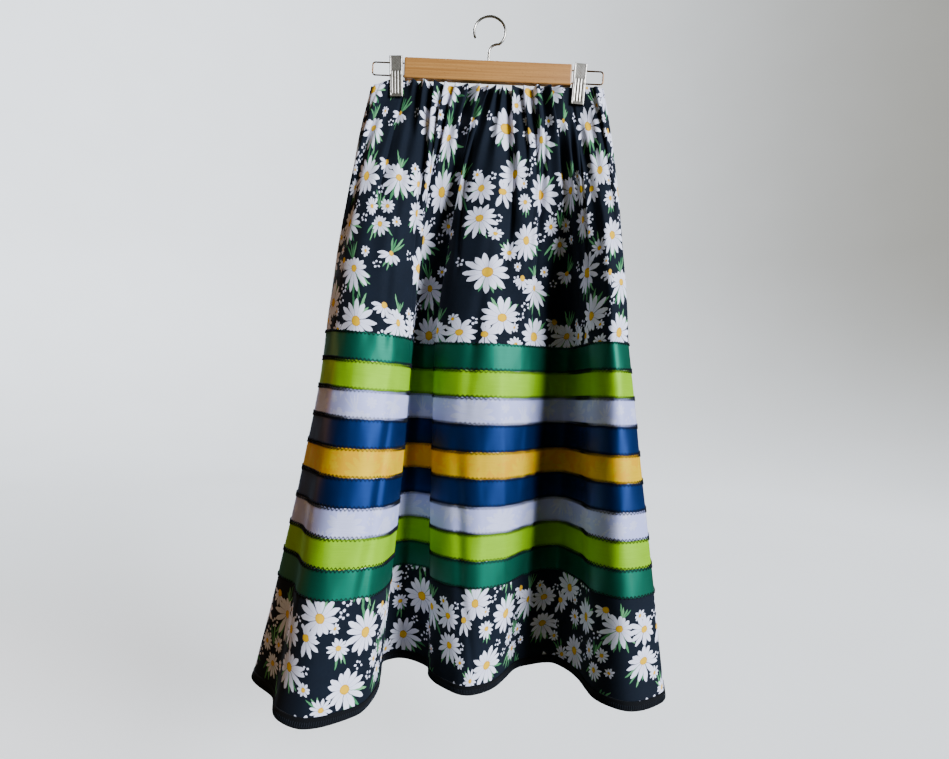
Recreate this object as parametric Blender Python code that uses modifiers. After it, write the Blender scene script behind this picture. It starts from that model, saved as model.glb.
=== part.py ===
"""A ribbon skirt on a clip hanger.

Two widths of printed cotton are gathered into an elastic waist, joined at the side seams, crossed by nine
satin ribbons and bound at the hem. Two clips on a wooden bar pinch the waist flat.

Frame: metres, +Z up, -Y is the front, and the origin is where the hook bears on its rail.
"""

import math

import bmesh
import bpy
from mathutils import Matrix

# Hanger
BAR_TOP = -0.062
BAR_HEIGHT = 0.0295
BAR_LENGTH = 0.2336
BAR_DEPTH = 0.011
HOOK_WIRE = 0.0036
HOOK_RADIUS = 0.020
HOOK_START = -50
HOOK_TIP = 205
HOOK_BEND = 0.013
HOOK_BORE_DEPTH = 0.013
LOOP_WIRE = 0.0021
LOOP_END = 0.162
LOOP_TOP = -0.069
LOOP_BOTTOM = -0.087
LOOP_CORNER = 0.004
LOOP_BORE_DEPTH = 0.008
BORE_CLEARANCE = 0.0004
BORE_END = 0.001
CLIP_X = 0.1272
CLIP_TOP = -0.061
CLIP_WIDTH = 0.0176
CLIP_HEIGHT = 0.057
CLIP_LEAN = math.radians(3)
JAW_PLATE = 0.0016
JAW_GAP = 0.0043

# Skirt
WAIST_HALF = 0.162
WAIST_TOP = -0.093
WAIST_SAG = 0.008
LEFT_CORNER_DROP = 0.011
CORNER_REACH = 0.10
RIBBON_TOP = -0.447
RIBBON_PITCH = 0.0381
RIBBON_GAP = 0.0008
HEM = -0.938
BINDING_DEPTH = 0.0135
COTTON = 0.0012
SATIN = 0.001
BINDING = 0.002
SEAM_GAP = 0.0006
SKIN_GAP = 0.0003

# Gathers: the two layers' distance from the middle plane, and the height of the small pleats
LAYER_OFFSET = 0.0085
PLEAT = 0.005
PINCHED_LAYER = 0.0026
PINCHED_PLEAT = 0.0003
PINCH_REACH = 0.026
PINCH_END = -0.122
PINCH_EASE = 0.06
PLEAT_FADE = 1.5
# How the skirt widens from the waist to the top ribbon: 1 evenly, 0 soonest at the top
EVEN_SPREAD = 0.4

FRONT_COLUMNS = 36
BACK_COLUMNS = 30
UPPER_ROWS = (WAIST_TOP, -0.121, -0.158, -0.210, -0.275, -0.360)
LOWER_ROWS = (-0.862,)

# How late the left side flares below the top ribbon, 1 being a straight line
LEFT_FLARE = 1.3

RIBBON_COLOURS = ("green", "lime", "white", "navy", "gold", "navy", "white", "lime", "green")

# The folds of the front from the left seam to the right one, and of the back from the right seam to the
# left one. Columns: the turn's name, its x and y at the top ribbon, its x and y at the hem.
FRONT_FOLDS = (
    ("left seam", -0.206, 0.038, -0.284, 0.040),
    ("left side", -0.210, 0.002, -0.293, 0.000),
    ("left bend", -0.196, -0.030, -0.250, -0.044),
    ("left lobe outer", -0.178, -0.046, -0.230, -0.092),
    ("left lobe crest", -0.152, -0.054, -0.190, -0.111),
    ("left lobe inner", -0.106, -0.036, -0.131, -0.070),
    ("left wall", -0.090, 0.008, -0.116, 0.000),
    ("left wall back", -0.096, 0.070, -0.122, 0.084),
    ("recess", -0.080, 0.088, -0.096, 0.103),
    ("recess inner", -0.054, 0.072, -0.053, 0.079),
    ("centre edge", -0.060, 0.034, -0.047, 0.043),
    ("centre left", -0.036, 0.008, -0.022, 0.012),
    ("centre crest", 0.004, -0.004, 0.006, -0.004),
    ("centre right", 0.050, 0.010, 0.045, 0.026),
    ("valley edge", 0.090, 0.036, 0.080, 0.078),
    ("valley left", 0.118, 0.072, 0.112, 0.098),
    ("valley right", 0.140, 0.074, 0.143, 0.100),
    ("right wall", 0.152, 0.030, 0.172, 0.048),
    ("right edge", 0.160, -0.010, 0.184, -0.010),
    ("right crest", 0.182, -0.034, 0.222, -0.041),
    ("right side", 0.208, -0.012, 0.276, -0.016),
    ("right seam", 0.214, 0.020, 0.290, 0.022),
)
BACK_FOLDS = (
    ("right seam", 0.214, 0.020, 0.290, 0.022),
    ("right back side", 0.210, 0.058, 0.286, 0.072),
    ("right back bend", 0.186, 0.098, 0.252, 0.130),
    ("right back valley", 0.148, 0.112, 0.200, 0.150),
    ("right back crest", 0.110, 0.142, 0.150, 0.178),
    ("right back wall", 0.077, 0.118, 0.105, 0.150),
    ("right hollow", 0.055, 0.098, 0.075, 0.124),
    ("middle rise", 0.029, 0.112, 0.040, 0.142),
    ("middle crest", 0.000, 0.138, 0.000, 0.172),
    ("middle fall", -0.022, 0.118, -0.030, 0.145),
    ("left hollow", -0.040, 0.104, -0.054, 0.126),
    ("left rise", -0.060, 0.122, -0.082, 0.148),
    ("left back crest", -0.088, 0.146, -0.120, 0.180),
    ("left back wall", -0.118, 0.120, -0.160, 0.148),
    ("left deep hollow", -0.142, 0.086, -0.194, 0.112),
    ("left back rise", -0.166, 0.096, -0.226, 0.130),
    ("left back bend", -0.188, 0.098, -0.258, 0.130),
    ("left back side", -0.205, 0.072, -0.281, 0.088),
    ("left seam", -0.206, 0.038, -0.284, 0.040),
)
SIDES = {
    "front": (FRONT_FOLDS, FRONT_COLUMNS, -1),
    "back": (BACK_FOLDS, BACK_COLUMNS, 1),
}


def clear_scene():
    for item in list(bpy.data.objects):
        bpy.data.objects.remove(item, do_unlink=True)


def collection(name):
    made = bpy.data.collections.new(name)
    bpy.context.scene.collection.children.link(made)
    return made


def material(name, colour, roughness, metallic=0.0):
    made = bpy.data.materials.new(name)
    made.use_nodes = True
    shader = made.node_tree.nodes["Principled BSDF"]
    shader.inputs["Base Color"].default_value = (*colour, 1)
    shader.inputs["Roughness"].default_value = roughness
    shader.inputs["Metallic"].default_value = metallic
    made.diffuse_color = (*colour, 1)
    return made


def mix(a, b, t):
    return a + (b - a) * t


def smooth(t):
    t = min(max(t, 0.0), 1.0)
    return t * t * (3 - 2 * t)


def fold_shares(folds):
    """Each turn's share of the cut width, from the distances between turns at the top ribbon and the hem."""
    share = [0.0]
    for before, after in zip(folds, folds[1:]):
        high = math.hypot(after[1] - before[1], after[2] - before[2])
        low = math.hypot(after[3] - before[3], after[4] - before[4])
        share.append(share[-1] + (high + low) / 2)
    return [value / share[-1] for value in share]


def through(shares, values, share):
    """A smooth curve through one column of the fold table."""
    last = len(shares) - 1
    i = max(k for k in range(last) if k == 0 or shares[k] <= share)
    span = shares[i + 1] - shares[i]

    def slope(k):
        a, b = max(k - 1, 0), min(k + 1, last)
        return (values[b] - values[a]) / (shares[b] - shares[a])

    t = (share - shares[i]) / span
    return (
        (1 + 2 * t) * (1 - t) ** 2 * values[i]
        + t * (1 - t) ** 2 * span * slope(i)
        + t * t * (3 - 2 * t) * values[i + 1]
        - t * t * (1 - t) * span * slope(i + 1)
    )


def pinch(x, level):
    """0 where a clip holds the waist flat, 1 away from the clips."""
    across = 1 - math.exp(-(((abs(x) - CLIP_X) / PINCH_REACH) ** 6))
    return max(across, smooth((PINCH_END - level) / PINCH_EASE))


def cloth_point(side, column, level):
    """The place of one column of the cloth at one level, given as if the waist were level."""
    folds, columns, outward = SIDES[side]
    share = column / columns
    shares = fold_shares(folds)
    place = [through(shares, [row[k] for row in folds], share) for k in range(1, 5)]
    waist_x = -outward * mix(-WAIST_HALF, WAIST_HALF, share)
    if level >= RIBBON_TOP:
        t = (WAIST_TOP - level) / (WAIST_TOP - RIBBON_TOP)
        x = mix(waist_x, place[0], mix(1 - (1 - t) ** 2, t, EVEN_SPREAD))
        edge = min(column, columns - column)
        free = pinch(x, level)
        layer = mix(PINCHED_LAYER, LAYER_OFFSET, free) * min(edge / 2, 1)
        uneven = 0.75 + 0.25 * math.sin(2.3 * column + outward)
        pleat = mix(PINCHED_PLEAT, PLEAT, free) * uneven * (-1) ** column * min(edge / 3, 1)
        opened = smooth((PINCH_END - level) / (PINCH_END - RIBBON_TOP))
        y = mix(outward * layer, place[1], opened) + pleat * (1 - t) ** PLEAT_FADE
        seam = mix(COTTON + SEAM_GAP, SEAM_GAP, opened)
    else:
        t = (RIBBON_TOP - level) / (RIBBON_TOP - HEM)
        t = t ** mix(1, LEFT_FLARE, smooth(0.5 - waist_x / WAIST_HALF))
        x, y = mix(place[0], place[2], t), mix(place[1], place[3], t)
        seam = SEAM_GAP
    sag = WAIST_SAG * max(0.0, 1 - (waist_x / CLIP_X) ** 2)
    corner = smooth((-waist_x - CLIP_X) / (WAIST_HALF - CLIP_X))
    corner *= LEFT_CORNER_DROP * smooth(1 + (level - WAIST_TOP) / CORNER_REACH)
    if column in (0, columns):
        y += outward * seam / 2
    return (x, y, level - sag - corner)


def cloth(name, side, levels, thickness, clear, look, parts):
    """A wall of cloth through the columns of one side at these levels, clear of the middle surface or on it."""
    columns = SIDES[side][1]
    shape = bmesh.new()
    grid = [
        [shape.verts.new(cloth_point(side, column, level)) for column in range(columns + 1)]
        for level in levels
    ]
    for upper, lower in zip(grid, grid[1:]):
        for k in range(columns):
            shape.faces.new((upper[k], lower[k], lower[k + 1], upper[k + 1]))
    mesh = bpy.data.meshes.new(name)
    shape.to_mesh(mesh)
    shape.free()
    mesh.materials.append(look)
    made = bpy.data.objects.new(name, mesh)
    parts.objects.link(made)
    wall = made.modifiers.new("wall", "SOLIDIFY")
    wall.thickness = thickness
    wall.offset = (2 * clear + thickness) / thickness if clear else 0
    wall.use_even_offset = True
    wall.use_quality_normals = True


def skirt(looks, parts):
    """Both panels, the ribbons that lie on them, each clear of its panel, and the binding below them."""
    seams = [RIBBON_TOP - index * RIBBON_PITCH for index in range(len(RIBBON_COLOURS) + 1)]
    edge = HEM + BINDING_DEPTH
    for side in SIDES:
        levels = (*UPPER_ROWS, *seams, *LOWER_ROWS, edge + SEAM_GAP)
        cloth(f"panel_{side}", side, levels, COTTON, 0, looks["print"], parts)
        cloth(f"hem_binding_{side}", side, (edge, HEM), BINDING, 0, looks["binding"], parts)
        for index, colour in enumerate(RIBBON_COLOURS):
            levels = (seams[index] - RIBBON_GAP / 2, seams[index + 1] + RIBBON_GAP / 2)
            clear = COTTON / 2 + SKIN_GAP
            cloth(f"ribbon_{index + 1}_{side}", side, levels, SATIN, clear, looks[colour], parts)


def tube(name, points, diameter, look, parts):
    """A round wire along these points."""
    data = bpy.data.curves.new(name, "CURVE")
    data.dimensions = "3D"
    data.bevel_depth = diameter / 2
    data.bevel_resolution = 2
    data.use_fill_caps = True
    spline = data.splines.new("POLY")
    spline.points.add(len(points) - 1)
    for target, place in zip(spline.points, points):
        target.co = (*place, 1)
    data.materials.append(look)
    made = bpy.data.objects.new(name, data)
    parts.objects.link(made)
    return made


def arc(centre_x, centre_z, radius, start, end, steps):
    """Points round an arc in the X-Z plane, angles in degrees."""
    angles = [math.radians(mix(start, end, k / steps)) for k in range(steps + 1)]
    return [(centre_x + radius * math.cos(a), 0, centre_z + radius * math.sin(a)) for a in angles]


def hook(look, parts):
    """A hook of round wire: a straight shank in the bar, a bend to one side and an arc back over the top."""
    radius = HOOK_RADIUS + HOOK_WIRE / 2
    over = arc(0, -HOOK_RADIUS, radius, HOOK_START, HOOK_TIP, 18)
    shank_top = over[0][2] - HOOK_BEND
    bend = [
        (mix(0, over[0][0], t * t), 0, mix(shank_top, over[0][2], math.sin(t * math.pi / 2)))
        for t in (0.25, 0.5, 0.75)
    ]
    foot = (0, 0, BAR_TOP - HOOK_BORE_DEPTH + BORE_END)
    tube("hook", [foot, (0, 0, shank_top), *bend, *over], HOOK_WIRE, look, parts)


def clip_loop(name, sign, look, parts):
    """A wire loop let into one end of the bar, on which a clip slides."""
    inner = BAR_LENGTH / 2 - LOOP_BORE_DEPTH + BORE_END
    corner = LOOP_END - LOOP_WIRE / 2 - LOOP_CORNER
    upper = arc(corner, LOOP_TOP - LOOP_CORNER, LOOP_CORNER, 90, 0, 4)
    lower = arc(corner, LOOP_BOTTOM + LOOP_CORNER, LOOP_CORNER, 0, -90, 4)
    points = [(inner, 0, LOOP_TOP), *upper, *lower, (inner, 0, LOOP_BOTTOM)]
    tube(name, [(sign * x, y, z) for x, y, z in points], LOOP_WIRE, look, parts)


def block(name, size, place, bevel, look, parts):
    """A box with rounded edges; place turns and moves it."""
    shape = bmesh.new()
    bmesh.ops.create_cube(shape, size=1)
    bmesh.ops.scale(shape, vec=size, verts=shape.verts)
    mesh = bpy.data.meshes.new(name)
    shape.to_mesh(mesh)
    shape.free()
    mesh.materials.append(look)
    made = bpy.data.objects.new(name, mesh)
    made.matrix_world = place
    parts.objects.link(made)
    edges = made.modifiers.new("edges", "BEVEL")
    edges.width = bevel
    edges.segments = 2
    edges.limit_method = "ANGLE"
    return made


def bore(bar, name, radius, depth, place, cutters):
    """A round hole into the bar, its mouth at place."""
    shape = bmesh.new()
    bmesh.ops.create_cone(
        shape, cap_ends=True, segments=16, radius1=radius, radius2=radius, depth=2 * depth
    )
    mesh = bpy.data.meshes.new(name)
    shape.to_mesh(mesh)
    shape.free()
    cutter = bpy.data.objects.new(name, mesh)
    cutter.matrix_world = place
    cutter.hide_render = True
    cutter.display_type = "WIRE"
    cutters.objects.link(cutter)
    cut = bar.modifiers.new(name, "BOOLEAN")
    cut.operation = "DIFFERENCE"
    cut.object = cutter


def bar(look, parts, cutters):
    """The wooden bar, bored for the hook's shank and for the ends of both wire loops."""
    size = (BAR_LENGTH, BAR_DEPTH, BAR_HEIGHT)
    place = Matrix.Translation((0, 0, BAR_TOP - BAR_HEIGHT / 2))
    made = block("hanger_bar", size, place, 0.0012, look, parts)
    radius = HOOK_WIRE / 2 + BORE_CLEARANCE
    bore(made, "hook_bore", radius, HOOK_BORE_DEPTH, Matrix.Translation((0, 0, BAR_TOP)), cutters)
    radius = LOOP_WIRE / 2 + BORE_CLEARANCE
    turned = Matrix.Rotation(math.radians(90), 4, "Y")
    for side, sign in (("left", -1), ("right", 1)):
        for end, level in (("top", LOOP_TOP), ("bottom", LOOP_BOTTOM)):
            place = Matrix.Translation((sign * BAR_LENGTH / 2, 0, level)) @ turned
            bore(made, f"{side}_{end}_bore", radius, LOOP_BORE_DEPTH, place, cutters)


def clips(look, parts):
    """Each clip is two plates, in front of and behind the cloth, leaning in towards the bar."""
    size = (CLIP_WIDTH, JAW_PLATE, CLIP_HEIGHT)
    for side, sign in (("left", -1), ("right", 1)):
        for layer, outward in (("front", -1), ("back", 1)):
            y = outward * (JAW_GAP + JAW_PLATE / 2)
            middle = Matrix.Translation((sign * CLIP_X, y, CLIP_TOP - CLIP_HEIGHT / 2))
            place = middle @ Matrix.Rotation(sign * CLIP_LEAN, 4, "Y")
            block(f"clip_{side}_{layer}", size, place, 0.0005, look, parts)


def main():
    clear_scene()
    parts = collection("ribbon_skirt")
    cutters = collection("cutters")
    looks = {
        "print": material("printed_cotton", (0.02, 0.035, 0.06), 0.85),
        "green": material("green_satin", (0.004, 0.10, 0.06), 0.35),
        "lime": material("lime_satin", (0.33, 0.54, 0.012), 0.35),
        "white": material("white_satin", (0.58, 0.58, 0.85), 0.35),
        "navy": material("navy_satin", (0.004, 0.024, 0.10), 0.35),
        "gold": material("gold_satin", (0.87, 0.46, 0.0), 0.35),
        "binding": material("black_binding", (0.012, 0.012, 0.015), 0.9),
    }
    wood = material("beech", (0.52, 0.28, 0.10), 0.45)
    nickel = material("nickel_plate", (0.60, 0.58, 0.55), 0.3, 1.0)
    bronze = material("bronzed_wire", (0.28, 0.17, 0.08), 0.35, 1.0)
    skirt(looks, parts)
    bar(wood, parts, cutters)
    hook(nickel, parts)
    for side, sign in (("left", -1), ("right", 1)):
        clip_loop(f"clip_loop_{side}", sign, bronze, parts)
    clips(nickel, parts)


main()
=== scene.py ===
"""A ribbon skirt of daisy-print cotton on a wooden clip hanger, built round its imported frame.

Each piece of cloth starts as the flat cut, marked with its own measurements, and is then hung in its folds.
Metres, +Z up, -Y is the front, and the origin is where the hook bears on its rail.
"""

import math
from collections import namedtuple

import bmesh
import bpy
import numpy as np
from bpy.props import FloatProperty, FloatVectorProperty, PointerProperty
from mathutils import Matrix, Vector


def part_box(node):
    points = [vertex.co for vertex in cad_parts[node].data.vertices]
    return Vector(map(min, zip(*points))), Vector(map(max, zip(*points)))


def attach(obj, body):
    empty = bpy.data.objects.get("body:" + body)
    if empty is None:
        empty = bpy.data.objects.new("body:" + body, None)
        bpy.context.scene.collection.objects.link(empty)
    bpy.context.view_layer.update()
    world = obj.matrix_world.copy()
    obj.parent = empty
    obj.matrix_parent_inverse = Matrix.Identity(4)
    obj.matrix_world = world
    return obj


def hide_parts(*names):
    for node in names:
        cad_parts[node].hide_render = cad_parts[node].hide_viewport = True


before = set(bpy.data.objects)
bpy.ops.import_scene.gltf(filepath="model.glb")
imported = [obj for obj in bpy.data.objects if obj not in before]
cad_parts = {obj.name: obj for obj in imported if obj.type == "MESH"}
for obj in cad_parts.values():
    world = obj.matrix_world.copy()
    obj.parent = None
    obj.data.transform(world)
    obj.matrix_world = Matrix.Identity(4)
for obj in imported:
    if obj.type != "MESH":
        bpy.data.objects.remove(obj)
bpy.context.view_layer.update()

bl_info = {
    "name": "Ribbon Skirt",
    "version": (1, 0, 0),
    "blender": (4, 5, 0),
    "location": "View3D > Sidebar > Ribbon Skirt",
    "description": "Builds a gathered ribbon skirt of daisy-print cotton on a wooden clip hanger",
    "category": "Add Mesh",
}

MM = 0.001

# ---------------------------------------------------------------------------------------------------------
# Where the skirt hangs
# ---------------------------------------------------------------------------------------------------------

# Levels and distances in metres.
WAIST_TOP = -0.093
RIBBON_TOP = -0.447
HEM = -0.938
WAIST_HALF = 0.162
WAIST_SAG = 0.008
LEFT_CORNER_DROP = 0.011
CORNER_REACH = 0.10
CLIP_X = 0.1272
# How the large folds open from the flat waist: shares, and a power that holds the left side in for longer.
LEFT_FLARE = 1.3
EVEN_SPREAD = 0.4
PAST_HEM = 1.05
SEAM_EASE = 0.05
# Half the space between the front and the back at the waist, free and under a clip, in metres.
LAYER_OFFSET = 0.0085
PINCHED_LAYER = 0.0026
PINCH_REACH = 0.026
PINCH_END = -0.122
PINCH_EASE = 0.06
# The small pleats: factors on the tables of gathers and creases, and the rise between two valleys.
GATHER_DEPTH = 1.7
GATHER_REACH = 1.35
GATHER_LEAN = 0.8
GATHER_WANDER = 0.07
GATHER_WIDTH = 0.56
GATHER_WIDENS = 0.30
CREST = 0.0058
CREST_REACH = 0.12
CREASE_DEPTH = 1.4
CREASE_FADE = 0.7
SCALLOP = 0.07
SCALLOP_REACH = 0.02
# Unevenness. Rows: height in metres, then two waves: radians for each share, metre of level and side.
RIPPLES = (
    (0.0009, (47, 6, 1), (21, 9.1, 0)),
    (0.0005, (118, -14, 2), (0, 31, 1.3)),
)
# The step that slopes are measured over, in share and in metres.
STEP = 1e-4

RIBBONS = ("green", "lime", "white", "navy", "gold", "navy", "white", "lime", "green")

# The large folds, as in the solids. Columns: the turn's name, its x and y at the top ribbon and at the hem.
FRONT_FOLDS = (
    ("left seam", -0.206, 0.038, -0.284, 0.040),
    ("left side", -0.210, 0.002, -0.293, 0.000),
    ("left bend", -0.196, -0.030, -0.250, -0.044),
    ("left lobe outer", -0.178, -0.046, -0.230, -0.092),
    ("left lobe crest", -0.152, -0.054, -0.190, -0.111),
    ("left lobe inner", -0.106, -0.036, -0.131, -0.070),
    ("left wall", -0.090, 0.008, -0.116, 0.000),
    ("left wall back", -0.096, 0.070, -0.122, 0.084),
    ("recess", -0.080, 0.088, -0.096, 0.103),
    ("recess inner", -0.054, 0.072, -0.053, 0.079),
    ("centre edge", -0.060, 0.034, -0.047, 0.043),
    ("centre left", -0.036, 0.008, -0.022, 0.012),
    ("centre crest", 0.010, -0.005, 0.012, -0.004),
    ("centre right", 0.051, 0.008, 0.047, 0.022),
    ("valley edge", 0.090, 0.036, 0.080, 0.078),
    ("valley left", 0.118, 0.072, 0.112, 0.098),
    ("valley right", 0.140, 0.074, 0.143, 0.100),
    ("right wall", 0.152, 0.030, 0.172, 0.048),
    ("right edge", 0.160, -0.010, 0.184, -0.010),
    ("right crest", 0.182, -0.034, 0.222, -0.041),
    ("right side", 0.208, -0.012, 0.276, -0.016),
    ("right seam", 0.214, 0.020, 0.290, 0.022),
)
BACK_FOLDS = (
    ("right seam", 0.214, 0.020, 0.290, 0.022),
    ("right back side", 0.210, 0.058, 0.286, 0.072),
    ("right back bend", 0.186, 0.098, 0.252, 0.130),
    ("right back valley", 0.148, 0.112, 0.200, 0.150),
    ("right back crest", 0.110, 0.142, 0.150, 0.178),
    ("right back wall", 0.077, 0.118, 0.105, 0.150),
    ("right hollow", 0.055, 0.098, 0.075, 0.124),
    ("middle rise", 0.029, 0.112, 0.040, 0.142),
    ("middle crest", 0.000, 0.138, 0.000, 0.172),
    ("middle fall", -0.022, 0.118, -0.030, 0.145),
    ("left hollow", -0.040, 0.104, -0.054, 0.126),
    ("left rise", -0.060, 0.122, -0.082, 0.148),
    ("left back crest", -0.088, 0.146, -0.120, 0.180),
    ("left back wall", -0.118, 0.120, -0.160, 0.148),
    ("left deep hollow", -0.142, 0.086, -0.194, 0.112),
    ("left back rise", -0.166, 0.096, -0.226, 0.130),
    ("left back bend", -0.188, 0.098, -0.258, 0.130),
    ("left back side", -0.205, 0.072, -0.281, 0.088),
    ("left seam", -0.206, 0.038, -0.284, 0.040),
)

# The gathers, a valley a row. Columns: share of the waist from the left, depth in mm, reach down in mm.
FRONT_GATHERS = (
    (0.035, 4.5, 90), (0.075, 6.0, 150), (0.118, 5.0, 70), (0.160, 6.5, 200), (0.205, 7.5, 120),
    (0.262, 9.0, 250), (0.310, 6.5, 90), (0.352, 8.0, 170), (0.388, 6.0, 80), (0.432, 9.0, 230),
    (0.480, 6.5, 100), (0.515, 7.0, 150), (0.552, 6.5, 75), (0.592, 9.0, 260), (0.645, 7.0, 110),
    (0.688, 8.5, 220), (0.738, 6.0, 90), (0.780, 7.5, 180), (0.830, 7.0, 120), (0.872, 6.5, 240),
    (0.912, 6.0, 110), (0.952, 5.0, 160), (0.980, 4.0, 60),
)
BACK_GATHERS = (
    (0.030, 4.5, 80), (0.068, 6.0, 140), (0.105, 5.5, 90), (0.150, 7.5, 210), (0.198, 6.5, 80),
    (0.240, 8.5, 180), (0.292, 7.0, 100), (0.330, 8.0, 240), (0.378, 6.0, 70), (0.420, 8.5, 160),
    (0.468, 7.0, 110), (0.508, 9.0, 260), (0.560, 6.5, 90), (0.600, 8.0, 190), (0.642, 6.0, 80),
    (0.690, 9.0, 230), (0.735, 7.0, 110), (0.782, 8.0, 150), (0.826, 6.5, 90), (0.870, 7.5, 220),
    (0.910, 6.0, 100), (0.955, 5.0, 130),
)

# Creases, listed one by one. Columns: share at the top, share at the bottom, top and bottom level, half width
# and depth in mm, troughs below 0 and ridges above.
FRONT_CREASES = (
    (0.268, 0.300, -0.080, -0.500, 9, -4.5),
    (0.735, 0.668, -0.080, -0.450, 7, -3.5),
    (0.713, 0.646, -0.080, -0.450, 8, 3.0),
    (0.630, 0.600, -0.080, -0.390, 7, -3.0),
    (0.490, 0.530, -0.080, -0.360, 6, -3.0),
    (0.860, 0.850, -0.080, -0.420, 8, -3.0),
    (0.150, 0.170, -0.080, -0.330, 7, -2.0),
    (0.205, 0.215, -0.180, -0.480, 12, -2.4),
    (0.245, 0.205, -0.460, -0.930, 14, -1.8),
    (0.580, 0.555, -0.240, -0.560, 12, -2.6),
    (0.545, 0.560, -0.560, -0.900, 14, -2.0),
    (0.560, 0.590, -0.800, -0.935, 10, -1.6),
    (0.690, 0.700, -0.560, -0.930, 14, 1.8),
)
BACK_CREASES = (
    (0.160, 0.190, -0.080, -0.480, 9, -4.0),
    (0.390, 0.350, -0.080, -0.430, 7, -3.5),
    (0.560, 0.580, -0.080, -0.380, 8, 3.0),
    (0.740, 0.700, -0.080, -0.500, 8, -4.0),
    (0.120, 0.100, -0.300, -0.720, 9, 1.8),
    (0.230, 0.245, -0.200, -0.560, 12, -2.4),
    (0.310, 0.290, -0.470, -0.900, 10, -2.0),
    (0.410, 0.430, -0.300, -0.760, 8, 2.2),
    (0.520, 0.500, -0.420, -0.800, 7, -2.4),
    (0.610, 0.640, -0.240, -0.640, 12, -2.2),
    (0.700, 0.690, -0.520, -0.920, 12, 1.8),
    (0.800, 0.820, -0.330, -0.700, 8, -2.2),
    (0.900, 0.890, -0.400, -0.860, 10, 1.8),
)

# Sharp-edged creases, which break the satin into flat faces. Columns: share at the top, share at the bottom,
# top and bottom level, and in mm how far its faces run to either side and how high it stands.
FRONT_FACETS = (
    (0.596, 0.640, -0.400, -0.900, 30, 110, 6.0),
    (0.668, 0.654, -0.440, -0.760, 9, 15, 1.6),
    (0.722, 0.718, -0.440, -0.720, 8, 8, -1.2),
)
BACK_FACETS = (
    (0.250, 0.270, -0.420, -0.860, 24, 18, 3.0),
    (0.420, 0.400, -0.430, -0.800, 12, 22, 2.2),
    (0.640, 0.660, -0.420, -0.880, 26, 16, 3.0),
    (0.850, 0.840, -0.430, -0.760, 14, 18, 1.8),
)
Side = namedtuple("Side", "folds gathers creases facets outward")
SIDES = {
    "front": Side(FRONT_FOLDS, FRONT_GATHERS, FRONT_CREASES, FRONT_FACETS, -1),
    "back": Side(BACK_FOLDS, BACK_GATHERS, BACK_CREASES, BACK_FACETS, 1),
}


# ---------------------------------------------------------------------------------------------------------
# The print
# ---------------------------------------------------------------------------------------------------------

# Bouquets of the print, drawn one by one. Columns: kind, right and up from the bouquet's middle and radius in
# mm, turn in degrees, rays round the whole circle, the eye's share of the radius, share of the rays shown,
# droop, by which the rays at the turn are longer than those across from it.
BOUQUETS = {
    "sunburst": (
        ("blades", 0, 0, 43, 246, 20, 0, 0.20, 0),
        ("blades", 24, 29, 28, 96, 20, 0, 0.15, 0),
        ("dots", -35, 13, 8, 0, 5, 0, 1, 0),
        ("daisy", 0, 0, 31, 5, 13, 0.23, 1, 0),
        ("daisy", 25, 30, 15, 90, 12, 0.24, 1, 0.12),
        ("daisy", 41, 11, 8, 0, 8, 0.26, 1, 0),
        ("dots", 40, -8, 8, 20, 5, 0, 1, 0),
    ),
    "drooping": (
        ("blades", 0, 0, 44, 234, 19, 0, 0.32, 0),
        ("blades", -2, 12, 29, 60, 20, 0, 0.20, 0),
        ("dots", -22, -26, 8, 0, 5, 0, 1, 0),
        ("daisy", -27, 14, 19, 178, 13, 0.24, 0.5, 0),
        ("daisy", 0, 0, 27, 266, 13, 0.19, 1, 0.30),
        ("daisy", 22, 23, 9, 0, 8, 0.28, 1, 0),
    ),
    "spray": (
        ("blades", 0, 0, 34, 222, 20, 0, 0.30, 0),
        ("blades", -4, 36, 27, 120, 20, 0, 0.22, 0),
        ("dots", 22, 5, 7, 0, 5, 0, 1, 0),
        ("daisy", 18, 42, 21, 250, 12, 0.22, 0.66, 0.2),
        ("daisy", -10, 40, 23, 210, 12, 0.21, 1, 0.16),
        ("daisy", 0, 0, 25, 284, 13, 0.21, 1, 0.2),
        ("daisy", 24, -17, 10, 0, 9, 0.28, 1, 0),
    ),
    "single": (
        ("blades", 0, 0, 41, 244, 18, 0, 0.28, 0),
        ("dots", 25, 22, 7, 0, 5, 0, 1, 0),
        ("daisy", 0, 0, 30, 300, 13, 0.21, 1, 0.12),
    ),
    "posy": (
        ("blades", 0, -6, 36, 225, 22, 0, 0.28, 0),
        ("blades", 2, 6, 31, 60, 20, 0, 0.16, 0),
        ("dots", -27, -9, 8, 0, 5, 0, 1, 0),
        ("daisy", 4, -15, 16, 280, 13, 0.24, 1, 0.15),
        ("daisy", -13, 8, 14, 0, 12, 0.24, 1, 0),
        ("daisy", 14, 11, 12, 0, 11, 0.26, 1, 0),
        ("daisy", 28, -9, 8, 0, 8, 0.28, 1, 0),
    ),
    "bell": (
        ("blades", 0, 0, 32, 40, 22, 0, 0.16, 0),
        ("blades", 0, 0, 26, 240, 20, 0, 0.16, 0),
        ("daisy", 0, 0, 18, 176, 12, 0.2, 0.5, 0.1),
        ("dots", -17, -20, 7, 0, 5, 0, 1, 0),
    ),
}
REPEAT = (0.208, 0.200)
# Where the bouquets stand in one repeat. Columns: bouquet, across and up in mm, turn in degrees.
REPEAT_PLACES = (
    ("sunburst", 38, 38, 0),
    ("drooping", 118, 22, 6),
    ("bell", 176, 48, -12),
    ("single", 92, 86, 14),
    ("posy", 156, 102, 0),
    ("spray", 20, 112, -8),
    ("sunburst", 122, 152, 150),
    ("drooping", 186, 156, -16),
    ("single", 62, 176, 150),
)
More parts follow.
